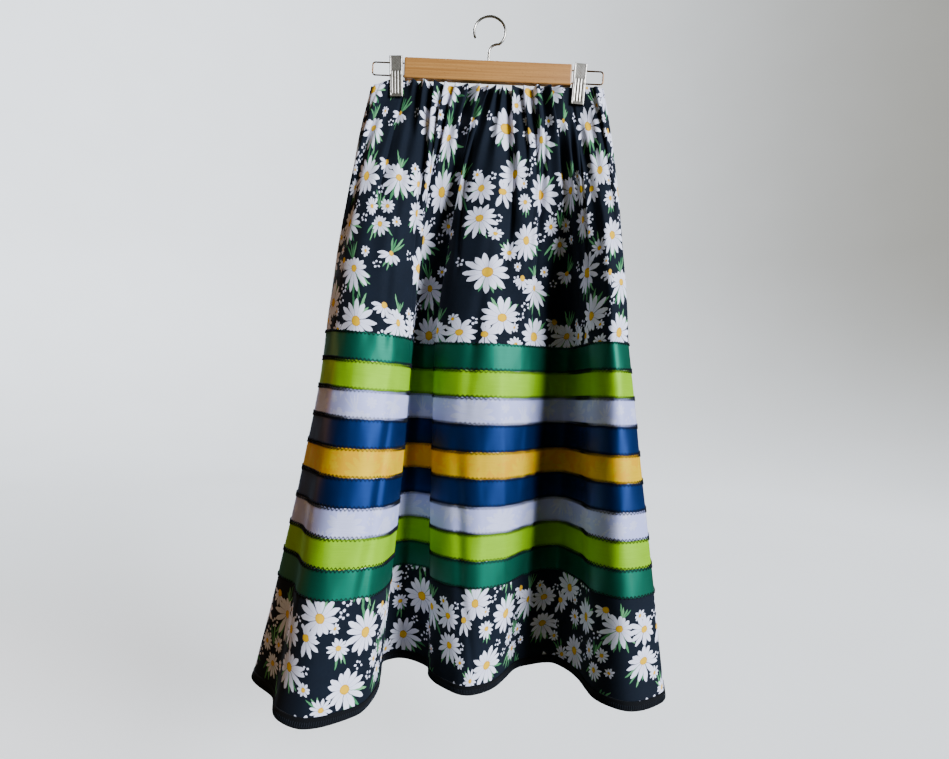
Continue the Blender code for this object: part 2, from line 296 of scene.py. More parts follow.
# The most motifs that one face may show, and what stands where there are fewer: a motif off the cloth.
SLOTS = 5
NO_MOTIF = (9, 9, 0.001, 0, 5, 0, 0, 1, 0.0)
TURN_SLACK = 0.1
LAYERS = {"blades": 0, "dots": 1, "daisy": 2}
KINDS = {"daisy": 0, "blades": 1, "dots": 2}


def motifs(low, high, shift):
    """Each motif of the print in a rectangle of cloth, lowest first.

    A motif is nine numbers: its place u, v and radius; its turn, rays and eye; its droop, shown share
    and kind.
    """
    found = []
    first = [math.floor((low[k] - shift[k]) / REPEAT[k]) - 1 for k in (0, 1)]
    last = [math.ceil((high[k] - shift[k]) / REPEAT[k]) + 1 for k in (0, 1)]
    for over in range(first[0], last[0]):
        for up in range(first[1], last[1]):
            for bouquet, across, along, bouquet_turn in REPEAT_PLACES:
                middle_u = shift[0] + over * REPEAT[0] + across * MM
                middle_v = shift[1] + up * REPEAT[1] + along * MM
                lean = math.radians(bouquet_turn)
                for order, row in enumerate(BOUQUETS[bouquet]):
                    kind, right, above, radius, turn, rays, eye, shown, droop = row
                    u = middle_u + (right * math.cos(lean) - above * math.sin(lean)) * MM
                    v = middle_v + (right * math.sin(lean) + above * math.cos(lean)) * MM
                    place = (u, v, radius * MM)
                    form = (math.radians(turn) + lean, rays, eye)
                    look = (droop, shown, KINDS[kind])
                    found.append((LAYERS[kind], order, over, up, (*place, *form, *look)))
    found.sort(key=lambda row: row[:4])
    return [row[4] for row in found]


def print_on(mesh, shift):
    """Gives each face the last few motifs that reach it, as attributes that the print's material draws."""
    count = len(mesh.polygons)
    uv = np.empty(len(mesh.loops) * 2)
    mesh.uv_layers["cut"].data.foreach_get("uv", uv)
    corners = uv.reshape(count, 4, 2)
    middle = corners.mean(axis=1)
    reach = np.linalg.norm(corners - middle[:, None], axis=2).max(axis=1)
    slots = np.tile(np.array(NO_MOTIF), (SLOTS, count, 1))
    for row in motifs(middle.min(axis=0), middle.max(axis=0), shift):
        u, v, radius, turn, _, _, droop, shown, _ = row
        away = middle - (u, v)
        distance = np.hypot(away[:, 0], away[:, 1])
        near = distance < radius * (1 + droop) + reach
        if shown < 1:
            angle = (np.arctan2(away[:, 1], away[:, 0]) - turn) % math.tau
            slack = np.arcsin(np.clip(reach / np.maximum(distance, 1e-6), 0, 1)) + TURN_SLACK
            inside = (angle < shown * math.tau + slack) | (angle > math.tau - slack)
            near &= inside | (distance < 2 * reach)
        faces = np.flatnonzero(near)
        slots[:-1, faces] = slots[1:, faces]
        slots[-1, faces] = row
    for k in range(SLOTS):
        for part, name in enumerate(("place", "form", "look")):
            layer = mesh.attributes.new(f"{name}_{k}", "FLOAT_VECTOR", "FACE")
            numbers = slots[k, :, 3 * part : 3 * part + 3]
            layer.data.foreach_set("vector", numbers.ravel().astype(np.float32))


# ---------------------------------------------------------------------------------------------------------
# How the cloth hangs
# ---------------------------------------------------------------------------------------------------------


def mix(a, b, t):
    return a + (b - a) * t


def smooth(t):
    t = np.clip(t, 0.0, 1.0)
    return t * t * (3 - 2 * t)


def bump(x):
    """1 at 0 with a slight crease, falling to 0 at 1 either way."""
    return 0.5 + 0.5 * np.cos(math.pi * np.clip(np.abs(x), 0, 1) ** 0.85)


def fold_shares(folds):
    """Each turn's share of the cut width, from the distances between turns at the top ribbon and the hem."""
    share = [0.0]
    for before, after in zip(folds, folds[1:]):
        high = math.hypot(after[1] - before[1], after[2] - before[2])
        low = math.hypot(after[3] - before[3], after[4] - before[4])
        share.append(share[-1] + (high + low) / 2)
    return np.array(share) / share[-1]


def through(shares, values, share):
    """A smooth curve through one column of the fold table."""
    values = np.array(values)
    slopes = np.empty_like(values)
    slopes[1:-1] = (values[2:] - values[:-2]) / (shares[2:] - shares[:-2])
    slopes[0] = (values[1] - values[0]) / (shares[1] - shares[0])
    slopes[-1] = (values[-1] - values[-2]) / (shares[-1] - shares[-2])
    i = np.clip(np.searchsorted(shares, share, side="right") - 1, 0, len(shares) - 2)
    span = shares[i + 1] - shares[i]
    t = (share - shares[i]) / span
    return (
        (1 + 2 * t) * (1 - t) ** 2 * values[i]
        + t * (1 - t) ** 2 * span * slopes[i]
        + t * t * (3 - 2 * t) * values[i + 1]
        - t * t * (1 - t) * span * slopes[i + 1]
    )


def pinch(x, level):
    """0 where a clip holds the waist flat, 1 away from the clips."""
    across = 1 - np.exp(-(((np.abs(x) - CLIP_X) / PINCH_REACH) ** 6))
    return np.maximum(across, smooth((PINCH_END - level) / PINCH_EASE))


def gathers(side, share, level):
    """How far the small pleats stand out from the waist's layer, in metres."""
    rows = SIDES[side].gathers
    at = np.array([0.0, *[row[0] for row in rows], 1.0])
    out = np.zeros(np.broadcast(share, level).shape)
    down = WAIST_TOP - level
    for k, (valley, depth, reach) in enumerate(rows, start=1):
        centre = valley + GATHER_WANDER * math.sin(5.1 * k) * down
        near = np.where(share < centre, valley - at[k - 1], at[k + 1] - valley)
        fade = np.exp(-((down / (GATHER_REACH * reach * MM)) ** 2)) * (0.86 + 0.14 * np.cos(down * 60 + k))
        widen = 1 + down / GATHER_WIDENS
        out -= GATHER_DEPTH * depth * MM * fade * bump((share - centre) / (near * GATHER_WIDTH * widen))
    return out + CREST * np.exp(-((down / CREST_REACH) ** 2))


def beside(side, share, level, first, last, top, bottom):
    """How far points are from a line down the cloth, in mm along it, and how strong its crease is there."""
    t = np.clip((top - level) / (top - bottom), 0, 1)
    away = (share - mix(first, last, t)) * cut_width(side, level) / MM
    return away, np.sin(math.pi * t) ** CREASE_FADE


def creases(side, share, level):
    """The rounded creases: troughs and ridges that stand out from the large folds, in metres."""
    out = np.zeros(np.broadcast(share, level).shape)
    for *line, half_width, depth in SIDES[side].creases:
        away, fade = beside(side, share, level, *line)
        out += CREASE_DEPTH * depth * MM * fade * bump(away / half_width)
    return out


def facets(side, share, level):
    """The sharp-edged creases: two flat faces that lean away from a line down the cloth."""
    out = np.zeros(np.broadcast(share, level).shape)
    for *line, before, after, height in SIDES[side].facets:
        away, fade = beside(side, share, level, *line)
        out += height * MM * fade * np.maximum(0, 1 - np.abs(away) / np.where(away < 0, before, after))
    return out


def ripple(share, level, seed):
    """Small unevenness that runs down the cloth."""
    out = 0.0
    for height, *waves in RIPPLES:
        first, second = (np.sin(a * share + b * level + c * seed) for a, b, c in waves)
        out = out + height * first * second
    return out


def base_surface(side, share, level):
    """The cloth in its large folds only, as points, for arrays of shares of the cut and of levels."""
    folds, outward = SIDES[side].folds, SIDES[side].outward
    shares = fold_shares(folds)
    high_x, high_y, low_x, low_y = (
        through(shares, [row[k] for row in folds], share) for k in range(1, 5)
    )
    waist_x = -outward * mix(-WAIST_HALF, WAIST_HALF, share)
    t = np.clip((WAIST_TOP - level) / (WAIST_TOP - RIBBON_TOP), 0, 1)
    x = mix(waist_x, high_x, mix(1 - (1 - t) ** 2, t, EVEN_SPREAD))
    layer = mix(PINCHED_LAYER, LAYER_OFFSET, pinch(x, level)) * seam_ease(share)
    y = mix(outward * layer, high_y, opened(level))
    low = np.clip((RIBBON_TOP - level) / (RIBBON_TOP - HEM), 0, PAST_HEM)
    flare = low ** mix(1, LEFT_FLARE, smooth(0.5 - waist_x / WAIST_HALF))
    x, y = mix(x, low_x, flare), mix(y, low_y, flare)
    sag = WAIST_SAG * np.maximum(0.0, 1 - (waist_x / CLIP_X) ** 2)
    corner = smooth((-waist_x - CLIP_X) / (WAIST_HALF - CLIP_X))
    corner = corner * LEFT_CORNER_DROP * smooth(1 + (level - WAIST_TOP) / CORNER_REACH)
    return np.stack([x, y, level - sag - corner], axis=-1)


def seam_ease(share):
    """0 at the side seams, 1 away from them."""
    return smooth(np.minimum(share, 1 - share) / SEAM_EASE)


def opened(level):
    """0 at the waist, where the skirt is flat, 1 where its folds stand open."""
    return smooth((PINCH_END - level) / (PINCH_END - RIBBON_TOP))


def along_share(surface, side, share, level):
    """The way that a surface runs towards higher shares."""
    return surface(side, share + STEP, level) - surface(side, share - STEP, level)


def middle_surface(side, share, level):
    """The cloth's middle surface, with its gathers and creases standing out square to the large folds."""
    outward = SIDES[side].outward
    base = base_surface(side, share, level)
    along = along_share(base_surface, side, share, level)
    square = np.stack([along[..., 1], -along[..., 0]], axis=-1)
    square /= np.linalg.norm(square, axis=-1, keepdims=True)
    ease = seam_ease(share)
    pleats = gathers(side, share, level)
    free = pinch(base[..., 0], level)
    folded = creases(side, share, level) + facets(side, share, level)
    relief = ease * free * pleats + ease * (folded + ripple(share, level, outward))
    made = base.copy()
    made[..., :2] += square * relief[..., None]
    # Pleats lean over, to one side here and to the other there.
    lean = GATHER_LEAN * np.sin(19 * share + outward) * ease * pleats * free
    made[..., :2] += np.stack([-square[..., 1], square[..., 0]], axis=-1) * lean[..., None]
    scallop = np.exp(-(((WAIST_TOP - level) / SCALLOP_REACH) ** 2))
    made[..., 2] += SCALLOP * scallop * pleats * ease
    return made


def hung(side, share, level, out):
    """Points at a distance out from the cloth's middle surface."""
    made = middle_surface(side, share, level)
    along = along_share(middle_surface, side, share, level)
    upward = middle_surface(side, share, level + STEP) - middle_surface(side, share, level - STEP)
    normal = np.cross(along, upward)
    normal /= np.linalg.norm(normal, axis=-1, keepdims=True)
    return made + normal * np.asarray(out)[..., None]


def cut_width(side, level):
    """How wide a panel is cut at a level: it flares from the waist to the hem."""
    cloth = bpy.context.scene.skirt_cloth
    waist = getattr(cloth, f"{side}_waist")
    hem = getattr(cloth, f"{side}_hem")
    return mix(waist, hem, (WAIST_TOP - level) / (WAIST_TOP - HEM))


def mesh_from(name, shape):
    """The finished bmesh as a mesh."""
    mesh = bpy.data.meshes.new(name)
    shape.to_mesh(mesh)
    shape.free()
    return mesh


def flat_grid(name, columns, rows):
    """A flat grid from -1 to 1 both ways. Returns its mesh and its points."""
    shape = bmesh.new()
    bmesh.ops.create_grid(shape, x_segments=columns, y_segments=rows, size=1)
    mesh = mesh_from(name, shape)
    points = np.empty(len(mesh.vertices) * 3)
    mesh.vertices.foreach_get("co", points)
    return mesh, points.reshape(-1, 3)


def flat_cut(name, side, rows, stops, levels):
    """A cut piece lying flat, in metres, as its own map, with each vertex's share of the width and its level.

    Stops are shares of the rows, from the bottom, and levels are the heights that they hang at.
    """
    mesh, flat = flat_grid(name, COLUMNS, rows)
    flat = (flat + 1) / 2
    share = flat[:, 0]
    level = np.interp(flat[:, 1], stops, levels)
    corner = np.empty(len(mesh.loops), int)
    mesh.loops.foreach_get("vertex_index", corner)
    cut = np.stack([(share - 0.5) * cut_width(side, level), level], axis=-1)
    mesh.uv_layers.new(name="cut").data.foreach_set("uv", cut[corner].ravel())
    return mesh, share, level


def place_points(mesh, points):
    mesh.vertices.foreach_set("co", points.ravel())
    mesh.update()


def finish_piece(name, mesh, nodes, looks, thickness=0.0, sharp=None):
    """Makes the piece's object, rides it on the body and hides the CAD nodes that it stands for."""
    made = bpy.data.objects.new(name, mesh)
    bpy.context.scene.collection.objects.link(made)
    for look in looks:
        mesh.materials.append(look)
    mesh.shade_smooth()
    if sharp:
        mesh.set_sharp_from_angle(angle=math.radians(sharp))
    if thickness:
        wall = made.modifiers.new("thickness", "SOLIDIFY")
        wall.thickness = thickness
        wall.offset = 0
        wall.material_offset = len(looks) - 1
        wall.material_offset_rim = len(looks) - 1
    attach(made, "root")
    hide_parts(*nodes)
    return made


def curve_mesh(name, lines, radius, sides=0):
    """Round thread or wire along each line of points, as one mesh."""
    curve = bpy.data.curves.new(name, "CURVE")
    curve.dimensions = "3D"
    curve.bevel_depth = radius
    curve.bevel_resolution = sides
    curve.use_fill_caps = True
    for points in lines:
        spline = curve.splines.new("POLY")
        spline.points.add(len(points) - 1)
        flat = np.ones((len(points), 4))
        flat[:, :3] = points
        spline.points.foreach_set("co", flat.ravel())
    guide = bpy.data.objects.new(name, curve)
    bpy.context.scene.collection.objects.link(guide)
    graph = bpy.context.evaluated_depsgraph_get()
    mesh = bpy.data.meshes.new_from_object(guide.evaluated_get(graph))
    bpy.data.objects.remove(guide)
    bpy.data.curves.remove(curve)
    mesh.materials.clear()
    return mesh


# ---------------------------------------------------------------------------------------------------------
# Finishes
# ---------------------------------------------------------------------------------------------------------


def linear(colour):
    """An sRGB hex colour as linear red, green and blue."""
    parts = [int(colour[k : k + 2], 16) / 255 for k in (1, 3, 5)]
    return tuple(c / 12.92 if c <= 0.04045 else ((c + 0.055) / 1.055) ** 2.4 for c in parts)


def add(tree, kind, links=None, out=0, **settings):
    """Adds a node with its settings, and its inputs' values or links. Returns one of its outputs."""
    made = tree.nodes.new(kind)
    for name, value in settings.items():
        setattr(made, name, value)
    for name, source in (links or {}).items():
        if isinstance(source, bpy.types.NodeSocket):
            tree.links.new(source, made.inputs[name])
        elif made.inputs[name].type == "RGBA" and len(source) == 3:
            made.inputs[name].default_value = (*source, 1)
        else:
            made.inputs[name].default_value = source
    return made.outputs[out] if len(made.outputs) else made


def new_material(name):
    """An empty material with its Principled shader and output. Returns it, its tree and the shader."""
    made = bpy.data.materials.new(name)
    made.use_nodes = True
    tree = made.node_tree
    shader = tree.nodes["Principled BSDF"]
    return made, tree, shader


def shade(tree, shader, **links):
    """Sets or links the shader's inputs, named with underscores for spaces."""
    for name, source in links.items():
        socket = shader.inputs[name.replace("_", " ")]
        if isinstance(source, bpy.types.NodeSocket):
            tree.links.new(source, socket)
        elif socket.type == "RGBA":
            socket.default_value = (*source, 1)
        else:
            socket.default_value = source


MATH = "ShaderNodeMath"
VECTORS = "ShaderNodeVectorMath"
SPLIT = "ShaderNodeSeparateXYZ"
RANGE = "ShaderNodeMapRange"
MIX = "ShaderNodeMix"
IN_COLOUR = {"out": 2, "data_type": "RGBA"}
NOISE = "ShaderNodeTexNoise"
MAPPING = "ShaderNodeMapping"
BUMP = "ShaderNodeBump"
# In metres: how soft the print's edges are, and how wide a band its cut outline wanders in.
PRINT_EDGE = 0.00028
PRINT_WOBBLE = 0.0022
# Shares of a motif's radius, or of the arc that a ray has: widths of its parts and how far a ray leans.
DOT_RADIUS = 0.23
BLADE_WIDTH = 0.048
PETAL_WIDTH = 1.72
PETAL_PEAK = 3.08
RAY_LEAN = 0.34
COTTON_FUZZ = "#c9d2e4"
# A satin's deeper threads, as a share of its colour, and how far its highlights take its colour.
SATIN_DEEP = 0.72
SATIN_GLOW = 0.92
PAPER_GLOW = 0.45


def motif_group():
    """One printed motif: rays round a middle, as petals, blades or dots, over the colour under it."""
    if "printed_motif" in bpy.data.node_groups:
        return bpy.data.node_groups["printed_motif"]
    tree = bpy.data.node_groups.new("printed_motif", "ShaderNodeTree")
    inputs = {"Cut": "Vector", "Place": "Vector", "Form": "Vector", "Look": "Vector"}
    inputs |= {"Under": "Color", "Covered": "Float"}
    outputs = {"Color": "Color", "Covered": "Float"}
    for way, sockets in (("INPUT", inputs), ("OUTPUT", outputs)):
        for name, kind in sockets.items():
            tree.interface.new_socket(name=name, in_out=way, socket_type=f"NodeSocket{kind}")
    given = tree.nodes.new("NodeGroupInput").outputs
    place, form, look = (
        add(tree, SPLIT, {0: given[name]}).node.outputs for name in ("Place", "Form", "Look")
    )
    radius = place[2]
    turn, rays, eye = form
    droop, shown, kind = look
    away = add(tree, VECTORS, {0: given["Cut"], 1: given["Place"]}, operation="SUBTRACT")
    away = add(tree, SPLIT, {0: away}).node.outputs
    squared = add(tree, MATH, {0: away[1], 1: away[1]}, operation="MULTIPLY")
    squared = add(tree, MATH, {0: away[0], 1: away[0], 2: squared}, operation="MULTIPLY_ADD")
    distance = add(tree, MATH, {0: squared}, operation="SQRT")
    r = add(tree, MATH, {0: distance, 1: radius}, operation="DIVIDE")
    angle = add(tree, MATH, {0: away[1], 1: away[0]}, operation="ARCTAN2")
    angle = add(tree, MATH, {0: angle, 1: turn}, operation="SUBTRACT")
    facing = add(tree, MATH, {0: angle}, operation="COSINE")
    reach = add(tree, MATH, {0: facing, 1: droop, 2: 1.0}, operation="MULTIPLY_ADD")
    angle = add(tree, MATH, {0: angle, 1: math.tau}, operation="DIVIDE")
    angle = add(tree, MATH, {0: angle}, operation="FRACT")
    sector = add(tree, MATH, {0: angle, 1: rays}, operation="MULTIPLY")
    index = add(tree, MATH, {0: sector}, operation="FLOOR")
    across = add(tree, MATH, {0: sector, 1: index}, operation="SUBTRACT")
    across = add(tree, MATH, {0: across, 1: 0.5}, operation="SUBTRACT")
    # Each ray has its own length, lean and tone.
    seed = add(tree, MATH, {0: place[0], 1: 733.0, 2: index}, operation="MULTIPLY_ADD")
    chance = add(tree, "ShaderNodeTexWhiteNoise", {"W": seed}, out=1, noise_dimensions="1D")
    chance = add(tree, SPLIT, {0: chance}).node.outputs
    is_blade = add(tree, MATH, {0: kind, 1: 1.0, 2: 0.3}, operation="COMPARE")
    is_dot = add(tree, MATH, {0: kind, 1: 1.5}, operation="GREATER_THAN")
    spread = add(tree, MATH, {0: is_blade, 1: 0.25, 2: 0.2}, operation="MULTIPLY_ADD")
    short = add(tree, MATH, {0: chance[0], 1: spread}, operation="MULTIPLY")
    length = add(tree, MATH, {0: reach, 1: short}, operation="SUBTRACT")
    root = add(tree, MATH, {0: eye, 1: 0.5}, operation="MULTIPLY")
    t = add(tree, RANGE, {"Value": r, "From Min": root, "From Max": length})
    rise = add(tree, MATH, {0: t, 1: 0.95}, operation="POWER")
    rest = add(tree, MATH, {0: 1.0, 1: t}, operation="SUBTRACT")
    fall = add(tree, MATH, {0: rest, 1: 0.7}, operation="POWER")
    petal = add(tree, MATH, {0: rise, 1: fall}, operation="MULTIPLY")
    petal = add(tree, MATH, {0: petal, 1: PETAL_PEAK}, operation="MULTIPLY")
    petal_width = add(tree, MATH, {0: PETAL_WIDTH, 1: rays}, operation="DIVIDE")
    blade_width = add(tree, MIX, {0: is_blade, 2: petal_width, 3: BLADE_WIDTH})
    petal = add(tree, MATH, {0: petal, 1: blade_width}, operation="MULTIPLY")
    # A dot is a disc about two thirds of the way out.
    ring = add(tree, MATH, {0: chance[0], 1: 0.4, 2: 0.42}, operation="MULTIPLY_ADD")
    ring = add(tree, MATH, {0: r, 1: ring}, operation="SUBTRACT")
    ring = add(tree, MATH, {0: ring, 1: ring}, operation="MULTIPLY")
    dot = add(tree, MATH, {0: DOT_RADIUS**2, 1: ring}, operation="SUBTRACT")
    dot = add(tree, MATH, {0: dot, 1: 0.0}, operation="MAXIMUM")
    dot = add(tree, MATH, {0: dot}, operation="SQRT")
    width = add(tree, MIX, {0: is_dot, 2: petal, 3: dot})
    lean = add(tree, MATH, {0: chance[1], 1: 0.5}, operation="SUBTRACT")
    lean = add(tree, MATH, {0: lean, 1: RAY_LEAN, 2: across}, operation="MULTIPLY_ADD")
    arc = add(tree, MATH, {0: r, 1: math.tau}, operation="MULTIPLY")
    arc = add(tree, MATH, {0: arc, 1: rays}, operation="DIVIDE")
    side = add(tree, MATH, {0: lean, 1: arc}, operation="MULTIPLY")
    side = add(tree, MATH, {0: side}, operation="ABSOLUTE")
    sharpness = add(tree, MATH, {0: radius, 1: PRINT_EDGE}, operation="DIVIDE")
    ray = add(tree, MATH, {0: width, 1: side}, operation="SUBTRACT")
    ray = add(tree, MATH, {0: ray, 1: sharpness}, operation="MULTIPLY", use_clamp=True)
    last = add(tree, MATH, {0: shown, 1: rays}, operation="MULTIPLY")
    last = add(tree, MATH, {0: last, 1: 0.5}, operation="SUBTRACT")
    present = add(tree, MATH, {0: index, 1: last}, operation="LESS_THAN")
    ray = add(tree, MATH, {0: ray, 1: present}, operation="MULTIPLY")
    disc = add(tree, MATH, {0: eye, 1: r}, operation="SUBTRACT")
    disc = add(tree, MATH, {0: disc, 1: sharpness, 2: 0.0}, operation="MULTIPLY_ADD", use_clamp=True)
    # Petals are white, greyer towards the eye and along their edges and veins.
    vein = add(tree, MATH, {0: side, 1: width}, operation="DIVIDE")
    vein = add(tree, MATH, {0: vein, 1: 8.0}, operation="MULTIPLY")
    vein = add(tree, MATH, {0: vein}, operation="COSINE")
    vein = add(tree, MATH, {0: vein, 1: 0.5, 2: 0.5}, operation="MULTIPLY_ADD")
    edge = add(tree, MATH, {0: across}, operation="ABSOLUTE")
    edge = add(tree, RANGE, {"Value": edge, "From Min": 0.40, "From Max": 0.5})
    grey = add(tree, MATH, {0: vein, 1: 0.30, 2: edge}, operation="MULTIPLY_ADD")
    grey = add(tree, MATH, {0: rest, 1: 0.15, 2: grey}, operation="MULTIPLY_ADD")
    grey = add(tree, MATH, {0: grey, 1: rest}, operation="MULTIPLY")
    grey = add(tree, MATH, {0: grey, 1: 0.75}, operation="MULTIPLY", use_clamp=True)
    prints = bpy.context.scene.skirt_cloth
    white = add(tree, MIX, {0: grey, 6: prints.petal, 7: prints.petal_shade}, **IN_COLOUR)
    green = add(tree, MIX, {0: chance[2], 6: prints.blade_light, 7: prints.blade_dark}, **IN_COLOUR)
    colour = add(tree, MIX, {0: is_blade, 6: white, 7: green}, **IN_COLOUR)
    rim = add(tree, MATH, {0: r, 1: eye}, operation="DIVIDE")
    rim = add(tree, RANGE, {"Value": rim, "From Min": 0.62, "From Max": 1.0})
    speckle = add(tree, NOISE, {"Vector": given["Cut"], "Scale": 900.0, "Detail": 2.0})
    rim = add(tree, MATH, {0: rim, 1: speckle}, operation="MULTIPLY", use_clamp=True)
    gold = add(tree, MIX, {0: rim, 6: prints.eye, 7: prints.eye_shade}, **IN_COLOUR)
    colour = add(tree, MIX, {0: disc, 6: colour, 7: gold}, **IN_COLOUR)
    cover = add(tree, MATH, {0: ray, 1: disc}, operation="MAXIMUM")
    result = add(tree, MIX, {0: cover, 6: given["Under"], 7: colour}, **IN_COLOUR)
    covered = add(tree, MATH, {0: given["Covered"], 1: cover}, operation="MAXIMUM")
    add(tree, "NodeGroupOutput", {"Color": result, "Covered": covered})
    return tree


def draw_print(tree, cut, under):
    """The print's motifs, one over another, on the colour under them. Returns its colour and its cover."""
    wobble = add(tree, NOISE, {"Vector": cut, "Scale": 170.0, "Detail": 1.0}, out=1)
    wobble = add(tree, VECTORS, {0: wobble, 1: (0.5, 0.5, 0.5)}, operation="SUBTRACT")
    wobble = add(tree, VECTORS, {0: wobble, "Scale": PRINT_WOBBLE}, operation="SCALE")
    cut = add(tree, VECTORS, {0: cut, 1: wobble}, operation="ADD")
    colour, covered = under, 0.0
    for k in range(SLOTS):
        place, form, look = (
            add(tree, "ShaderNodeAttribute", out=1, attribute_name=f"{name}_{k}")
            for name in ("place", "form", "look")
        )
        motif = tree.nodes.new("ShaderNodeGroup")
        motif.node_tree = motif_group()
        sources = {"Cut": cut, "Place": place, "Form": form, "Look": look, "Under": colour}
        for name, source in sources.items():
            tree.links.new(source, motif.inputs[name])
        if k:
            tree.links.new(covered, motif.inputs["Covered"])
        colour, covered = motif.outputs["Color"], motif.outputs["Covered"]
    return colour, covered


def printed_cotton(wrong_side=False):
    """Quilting cotton, plain woven and printed: matt, with soft edges to the ink and a fine dry tooth."""
    prints = bpy.context.scene.skirt_cloth
    name = "printed_cotton_wrong_side" if wrong_side else "printed_cotton"
    made, tree, shader = new_material(name)
    cut = add(tree, "ShaderNodeUVMap", uv_map="cut")
    cloud = add(tree, NOISE, {"Vector": cut, "Scale": 45.0, "Detail": 4.0, "Roughness": 0.6})
    ground = add(tree, MIX, {0: cloud, 6: prints.ground, 7: prints.ground_light}, **IN_COLOUR)
    colour, _ = draw_print(tree, cut, ground)
    if wrong_side:
        # The ink has soaked through thinly, over the greige back of the cloth.
        colour = add(tree, MIX, {0: 0.45, 6: colour, 7: prints.wrong_side}, **IN_COLOUR)
    # Threads lie 0.35 mm apart, and are drawn at 1.2 mm so that they show.
    warp = add(tree, "ShaderNodeTexWave", {"Vector": cut, "Scale": 265.0, "Distortion": 1.5})
    weft = add(
        tree, "ShaderNodeTexWave", {"Vector": cut, "Scale": 265.0, "Distortion": 1.5}, bands_direction="Y"
    )
    weave = add(tree, MATH, {0: warp, 1: weft}, operation="ADD")
    slub = add(tree, NOISE, {"Vector": cut, "Scale": 320.0, "Detail": 3.0})
    weave = add(tree, MATH, {0: slub, 1: 0.8, 2: weave}, operation="MULTIPLY_ADD")
    bump = add(tree, BUMP, {"Strength": 0.35, "Distance": 0.00012, "Height": weave})
    rough = add(tree, RANGE, {"Value": slub, "To Min": 0.78, "To Max": 0.95})
    shade(
        tree, shader, Base_Color=colour, Roughness=rough, Normal=bump, Specular_IOR_Level=0.15,
        Sheen_Weight=0.04, Sheen_Roughness=0.5, Sheen_Tint=linear(COTTON_FUZZ),
    )
    return made


def satin(name, colour, deep, glow, under):
    """Polyester satin ribbon: a smooth warp face that throws broad soft highlights across its threads.

    Glow is the colour of its highlights, and under is its colour over the print's ground, or None.
    """
    made, tree, shader = new_material(f"{name}_satin")
    cut = add(tree, "ShaderNodeUVMap", uv_map="cut")
    # Threads run along the ribbon. They are 0.15 mm and are drawn about 0.8 mm apart so that they show.
    stretched = add(tree, MAPPING, {"Vector": cut, "Scale": (14.0, 620.0, 1.0)})
    threads = add(tree, NOISE, {"Vector": stretched, "Scale": 2.0, "Detail": 3.0, "Roughness": 0.65})
    clouds = add(tree, NOISE, {"Vector": cut, "Scale": 26.0, "Detail": 2.0})
    tone = add(tree, MATH, {0: threads, 1: 0.6}, operation="MULTIPLY")
    tone = add(tree, MATH, {0: clouds, 1: 0.5, 2: tone}, operation="MULTIPLY_ADD")
    tone = add(tree, RANGE, {"Value": tone, "From Min": 0.35, "From Max": 0.75})
    face = add(tree, MIX, {0: tone, 6: colour, 7: deep}, **IN_COLOUR)
    if under:
        # A pale ribbon shows the print under it: deeper over the dark ground than over the petals.
        _, covered = draw_print(tree, cut, face)
        bare = add(tree, MATH, {0: 1.0, 1: covered}, operation="SUBTRACT")
        shown = add(tree, MATH, {0: bare, 1: 0.8}, operation="MULTIPLY")
        face = add(tree, MIX, {0: shown, 6: face, 7: under}, **IN_COLOUR)
    rough = add(tree, RANGE, {"Value": threads, "To Min": 0.42, "To Max": 0.56})
    bump = add(tree, BUMP, {"Strength": 0.3, "Distance": 0.0001, "Height": threads})
    along = add(tree, "ShaderNodeTangent", direction_type="UV_MAP", uv_map="cut")
    shade(
        tree, shader, Base_Color=face, Roughness=rough, Normal=bump, Tangent=along, Anisotropic=0.5,
        Anisotropic_Rotation=0.25, IOR=1.54, Specular_IOR_Level=0.65, Specular_Tint=glow,
    )
    return made


def binding_tape():
    """Cotton twill tape, dyed black and washed: matt and a little grey on its high threads."""
    trim = bpy.context.scene.skirt_trim
    made, tree, shader = new_material("cotton_twill_tape")
    cut = add(tree, "ShaderNodeUVMap", uv_map="cut")
    # The twill's diagonal ribs are 0.8 mm apart, and are drawn at 2.4 mm so that they show.
    turned = add(tree, MAPPING, {"Vector": cut, "Rotation": (0, 0, math.radians(38))})
    twill = {"Vector": turned, "Scale": 130.0, "Distortion": 1.0, "Detail": 1.0}
    ribs = add(tree, "ShaderNodeTexWave", twill)
    fuzz = add(tree, NOISE, {"Vector": cut, "Scale": 260.0, "Detail": 4.0})
    worn = add(tree, MATH, {0: ribs, 1: fuzz}, operation="MULTIPLY")
    colour = add(tree, MIX, {0: worn, 6: trim.tape, 7: trim.tape_worn}, **IN_COLOUR)
    height = add(tree, MATH, {0: fuzz, 1: 0.6, 2: ribs}, operation="MULTIPLY_ADD")
    bump = add(tree, BUMP, {"Strength": 0.6, "Distance": 0.0003, "Height": height})
    shade(
        tree, shader, Base_Color=colour, Roughness=0.92, Normal=bump, Specular_IOR_Level=0.15,
        Sheen_Weight=0.03, Sheen_Roughness=0.5,
    )
    return made


def sewing_thread(name, colour, light):
    """Spun polyester thread: matt and twisted, with a painted highlight, its lit colour, laid over some of
    its plies.
    """
    made, tree, shader = new_material(name)
    place = add(tree, "ShaderNodeTexCoord", out=3)
    # Its twist is drawn about 0.7 mm apart.
    plies = add(tree, NOISE, {"Vector": place, "Scale": 1400.0, "Detail": 2.0})
    # A painted highlight: the thread's lit colour mixed over the plies' noise, which also makes its bumps.
    face = add(tree, MIX, {0: plies, 6: colour, 7: light}, **IN_COLOUR)
    bump = add(tree, BUMP, {"Strength": 0.5, "Distance": 0.0001, "Height": plies})
    shade(tree, shader, Base_Color=face, Roughness=0.8, Normal=bump, Specular_IOR_Level=0.1)
    return made


